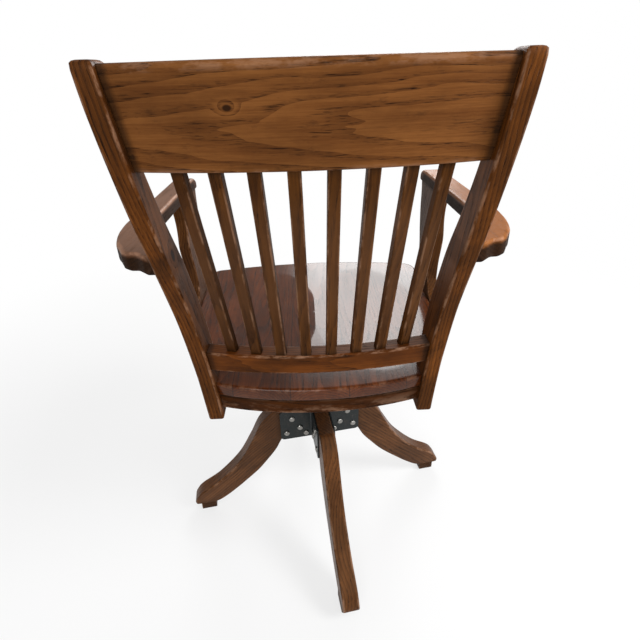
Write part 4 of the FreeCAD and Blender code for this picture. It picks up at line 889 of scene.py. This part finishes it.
def makeMetals():  # gives the solids' own iron and steel their finishes
    finishes = {
        "black_steel": metalMaterial("blackSteel", colour=(0.006, 0.010, 0.010), metallic=0.35,
                                     roughness=0.38, rustAmount=0.12, rubAmount=0.12),
        "cast_iron": metalMaterial("castIron", colour=(0.022, 0.022, 0.022), metallic=0.7,
                                   roughness=0.55),
        "bright_steel": metalMaterial("brightSteel", colour=(0.33, 0.32, 0.30), roughness=0.32,
                                      rustAmount=0.35),
        "rivet_steel": metalMaterial("rivetSteel", colour=(0.30, 0.29, 0.27), roughness=0.35,
                                     rustAmount=0.3),
        "spring_steel": metalMaterial("springSteel", colour=(0.10, 0.10, 0.11), roughness=0.36),
        "screw_steel": metalMaterial("screwSteel", colour=(0.22, 0.20, 0.17), roughness=0.4,
                                     rustAmount=0.5),
    }
    slots = {row["node"]: row["material_slot"] for row in frame["record"]["subparts"]}
    for node, piece in frame["nodes"].items():
        if slots.get(node) in finishes:
            for place in piece.material_slots:
                place.material = finishes[slots[node]]
    return finishes


padSizes = {"middle": 286, "halfLong": 18, "halfWide": 17, "radius": 1.8,
            "profile": [(0, 4.0), (1.3, 2.7), (4, 0), (8, 0), (14, 0), (19.5, 0), (22, 0)]}


def makePads():
    # a block with a bevelled foot under each leg
    s = padSizes
    material = oakMaterial("padOak", light=(0.07, 0.03, 0.012), mid=(0.035, 0.014, 0.006))
    for index, side in enumerate(["left", "rear", "right", "front"]):
        angle = math.radians(legSizes["turn"] + 90 * index)
        out = np.array([math.cos(angle), math.sin(angle), 0])
        across = np.array([-math.sin(angle), math.cos(angle), 0])
        z, inset = np.array(s["profile"], float).T
        centre = out * s["middle"] + np.array([0, 0, 1]) * z[:, None]
        rings, wear = sweep(centre, np.repeat(out[None], len(z), 0),
                            np.repeat(across[None], len(z), 0), s["halfLong"] - inset,
                            s["halfWide"] - inset, s["radius"], 0, seed=80 + index)
        buildPiece("padOak_" + side, rings, wear, plankBoard(across, out, out * s["middle"],
                   (0, 0, 300 * index)), "base", "foot_pad_" + side, material)


# Floor, light and camera

stageLook = {"floor": (0.75, 0.75, 0.75), "floorSize": 9.0, "near": 0.7, "nearReach": 0.7,
             "farReach": 2.0, "world": 0.40}

lampLook = [("key", (-2.4, 0.8, 2.2), (0, 0, 0.6), 1.2, 85),
            ("fill", (0.6, 2.6, 2.2), (0, 0, 0.6), 1.6, 44),
            ("window", (-0.55, -2.7, 1.95), (-0.1, 0, 0.5), 1.3, 50)]


def directRays(tools):  # 1 for camera, glossy and transmission rays, 0 for the others
    outputs = tools.make("ShaderNodeLightPath").socket.node.outputs
    camera, glossy, clear = [Signal(tools.tree, outputs[name]) for name in
                             ("Is Camera Ray", "Is Glossy Ray", "Is Transmission Ray")]
    return camera + glossy + clear


def makeFloor():
    mesh = bpy.data.meshes.new("floor")
    side = stageLook["floorSize"]
    mesh.from_pydata([(-side, -side, 0), (side, -side, 0), (side, side, 0), (-side, side, 0)], [],
                     [(0, 1, 2, 3)])
    material, shader, tools = newMaterial("paleFloor")
    nodes, links = material.node_tree.nodes, material.node_tree.links
    feed(shader, tools, "Base Color", (*stageLook["floor"], 1))
    feed(shader, tools, "Roughness", 0.9)
    feed(shader, tools, "Specular IOR Level", 0.0)
    across, along, _ = tools.make("ShaderNodeTexCoord", None, None, out="Object").parts()
    away = (across * across + along * along) ** 0.5
    share = away.step(stageLook["nearReach"], stageLook["farReach"]) * (1 - stageLook["near"]) \
        + stageLook["near"]
    glow = tools.make("ShaderNodeEmission", None, {"Color": (1, 1, 1, 1), "Strength": 1.0})
    mix = nodes.new("ShaderNodeMixShader")
    links.new((directRays(tools) * share).socket, mix.inputs[0])
    links.new(shader.outputs[0], mix.inputs[1])
    links.new(glow.socket, mix.inputs[2])
    links.new(mix.outputs[0], nodes["Material Output"].inputs[0])
    mesh.materials.append(material)
    floor = bpy.data.objects.new("floor", mesh)
    bpy.context.scene.collection.objects.link(floor)


def makeStage():
    makeFloor()
    world = bpy.data.worlds.new("paleRoom")
    bpy.context.scene.world = world
    world.use_nodes = True
    tree = world.node_tree
    background = tree.nodes["Background"]
    background.inputs["Color"].default_value = (1, 1, 1, 1)
    outputs = Signal(tree).make("ShaderNodeLightPath").socket.node.outputs
    seen = Signal(tree, outputs["Is Camera Ray"])
    strength = seen * (1.0 - stageLook["world"]) + stageLook["world"]
    tree.links.new(strength.socket, background.inputs["Strength"])
    for name, place, target, width, power in lampLook:
        light = bpy.data.lights.new(name, "AREA")
        light.size = width
        light.energy = power
        lamp = bpy.data.objects.new(name, light)
        lamp.location = place
        way = np.array(target) - np.array(place)
        lamp.rotation_euler = (math.atan2(math.hypot(way[0], way[1]), -way[2]), 0,
                               math.atan2(way[1], way[0]) - math.pi / 2)
        bpy.context.scene.collection.objects.link(lamp)


cameraFacts = {"place": (0.01364288, 0.77082813, 0.98954569), "yaw": -0.0179598, "pitch": 0.4523030,
               "roll": 0.0322566, "focalPixels": 425.0, "centre": (313.978, 273.532), "frame": 640}


def makeCamera():
    # the view's axes from yaw, pitch and roll; the shift puts the view's centre in place
    s = cameraFacts
    forward = np.array([math.sin(s["yaw"]) * math.cos(s["pitch"]),
                        -math.cos(s["yaw"]) * math.cos(s["pitch"]), -math.sin(s["pitch"])])
    right = np.array([-math.cos(s["yaw"]), -math.sin(s["yaw"]), 0])
    down = np.cross(forward, right)
    rolledRight = math.cos(s["roll"]) * right + math.sin(s["roll"]) * down
    rolledDown = -math.sin(s["roll"]) * right + math.cos(s["roll"]) * down
    data = bpy.data.cameras.new("camera")
    data.sensor_fit = "HORIZONTAL"
    data.sensor_width = 36
    data.lens = 36 * s["focalPixels"] / s["frame"]
    data.shift_x = (s["frame"] / 2 - s["centre"][0]) / s["frame"]
    data.shift_y = (s["centre"][1] - s["frame"] / 2) / s["frame"]
    data.clip_start = 0.02
    camera = bpy.data.objects.new("camera", data)
    turn = Matrix([rolledRight, -rolledDown, -forward]).transposed().to_4x4()
    camera.matrix_world = Matrix.Translation(Vector(s["place"])) @ turn
    bpy.context.scene.collection.objects.link(camera)
    bpy.context.scene.camera = camera


bpy.context.scene.view_settings.view_transform = "Standard"
makeCamera()
makeStage()
print("camera and stage ready")
makeMetals()
makeLegs()
makePads()
print("base ready")
makePosts()
makeRails()
makeSlats()
print("back ready")
makeSeat()
makeArms()
makeSupports()
print("seat and arms ready")
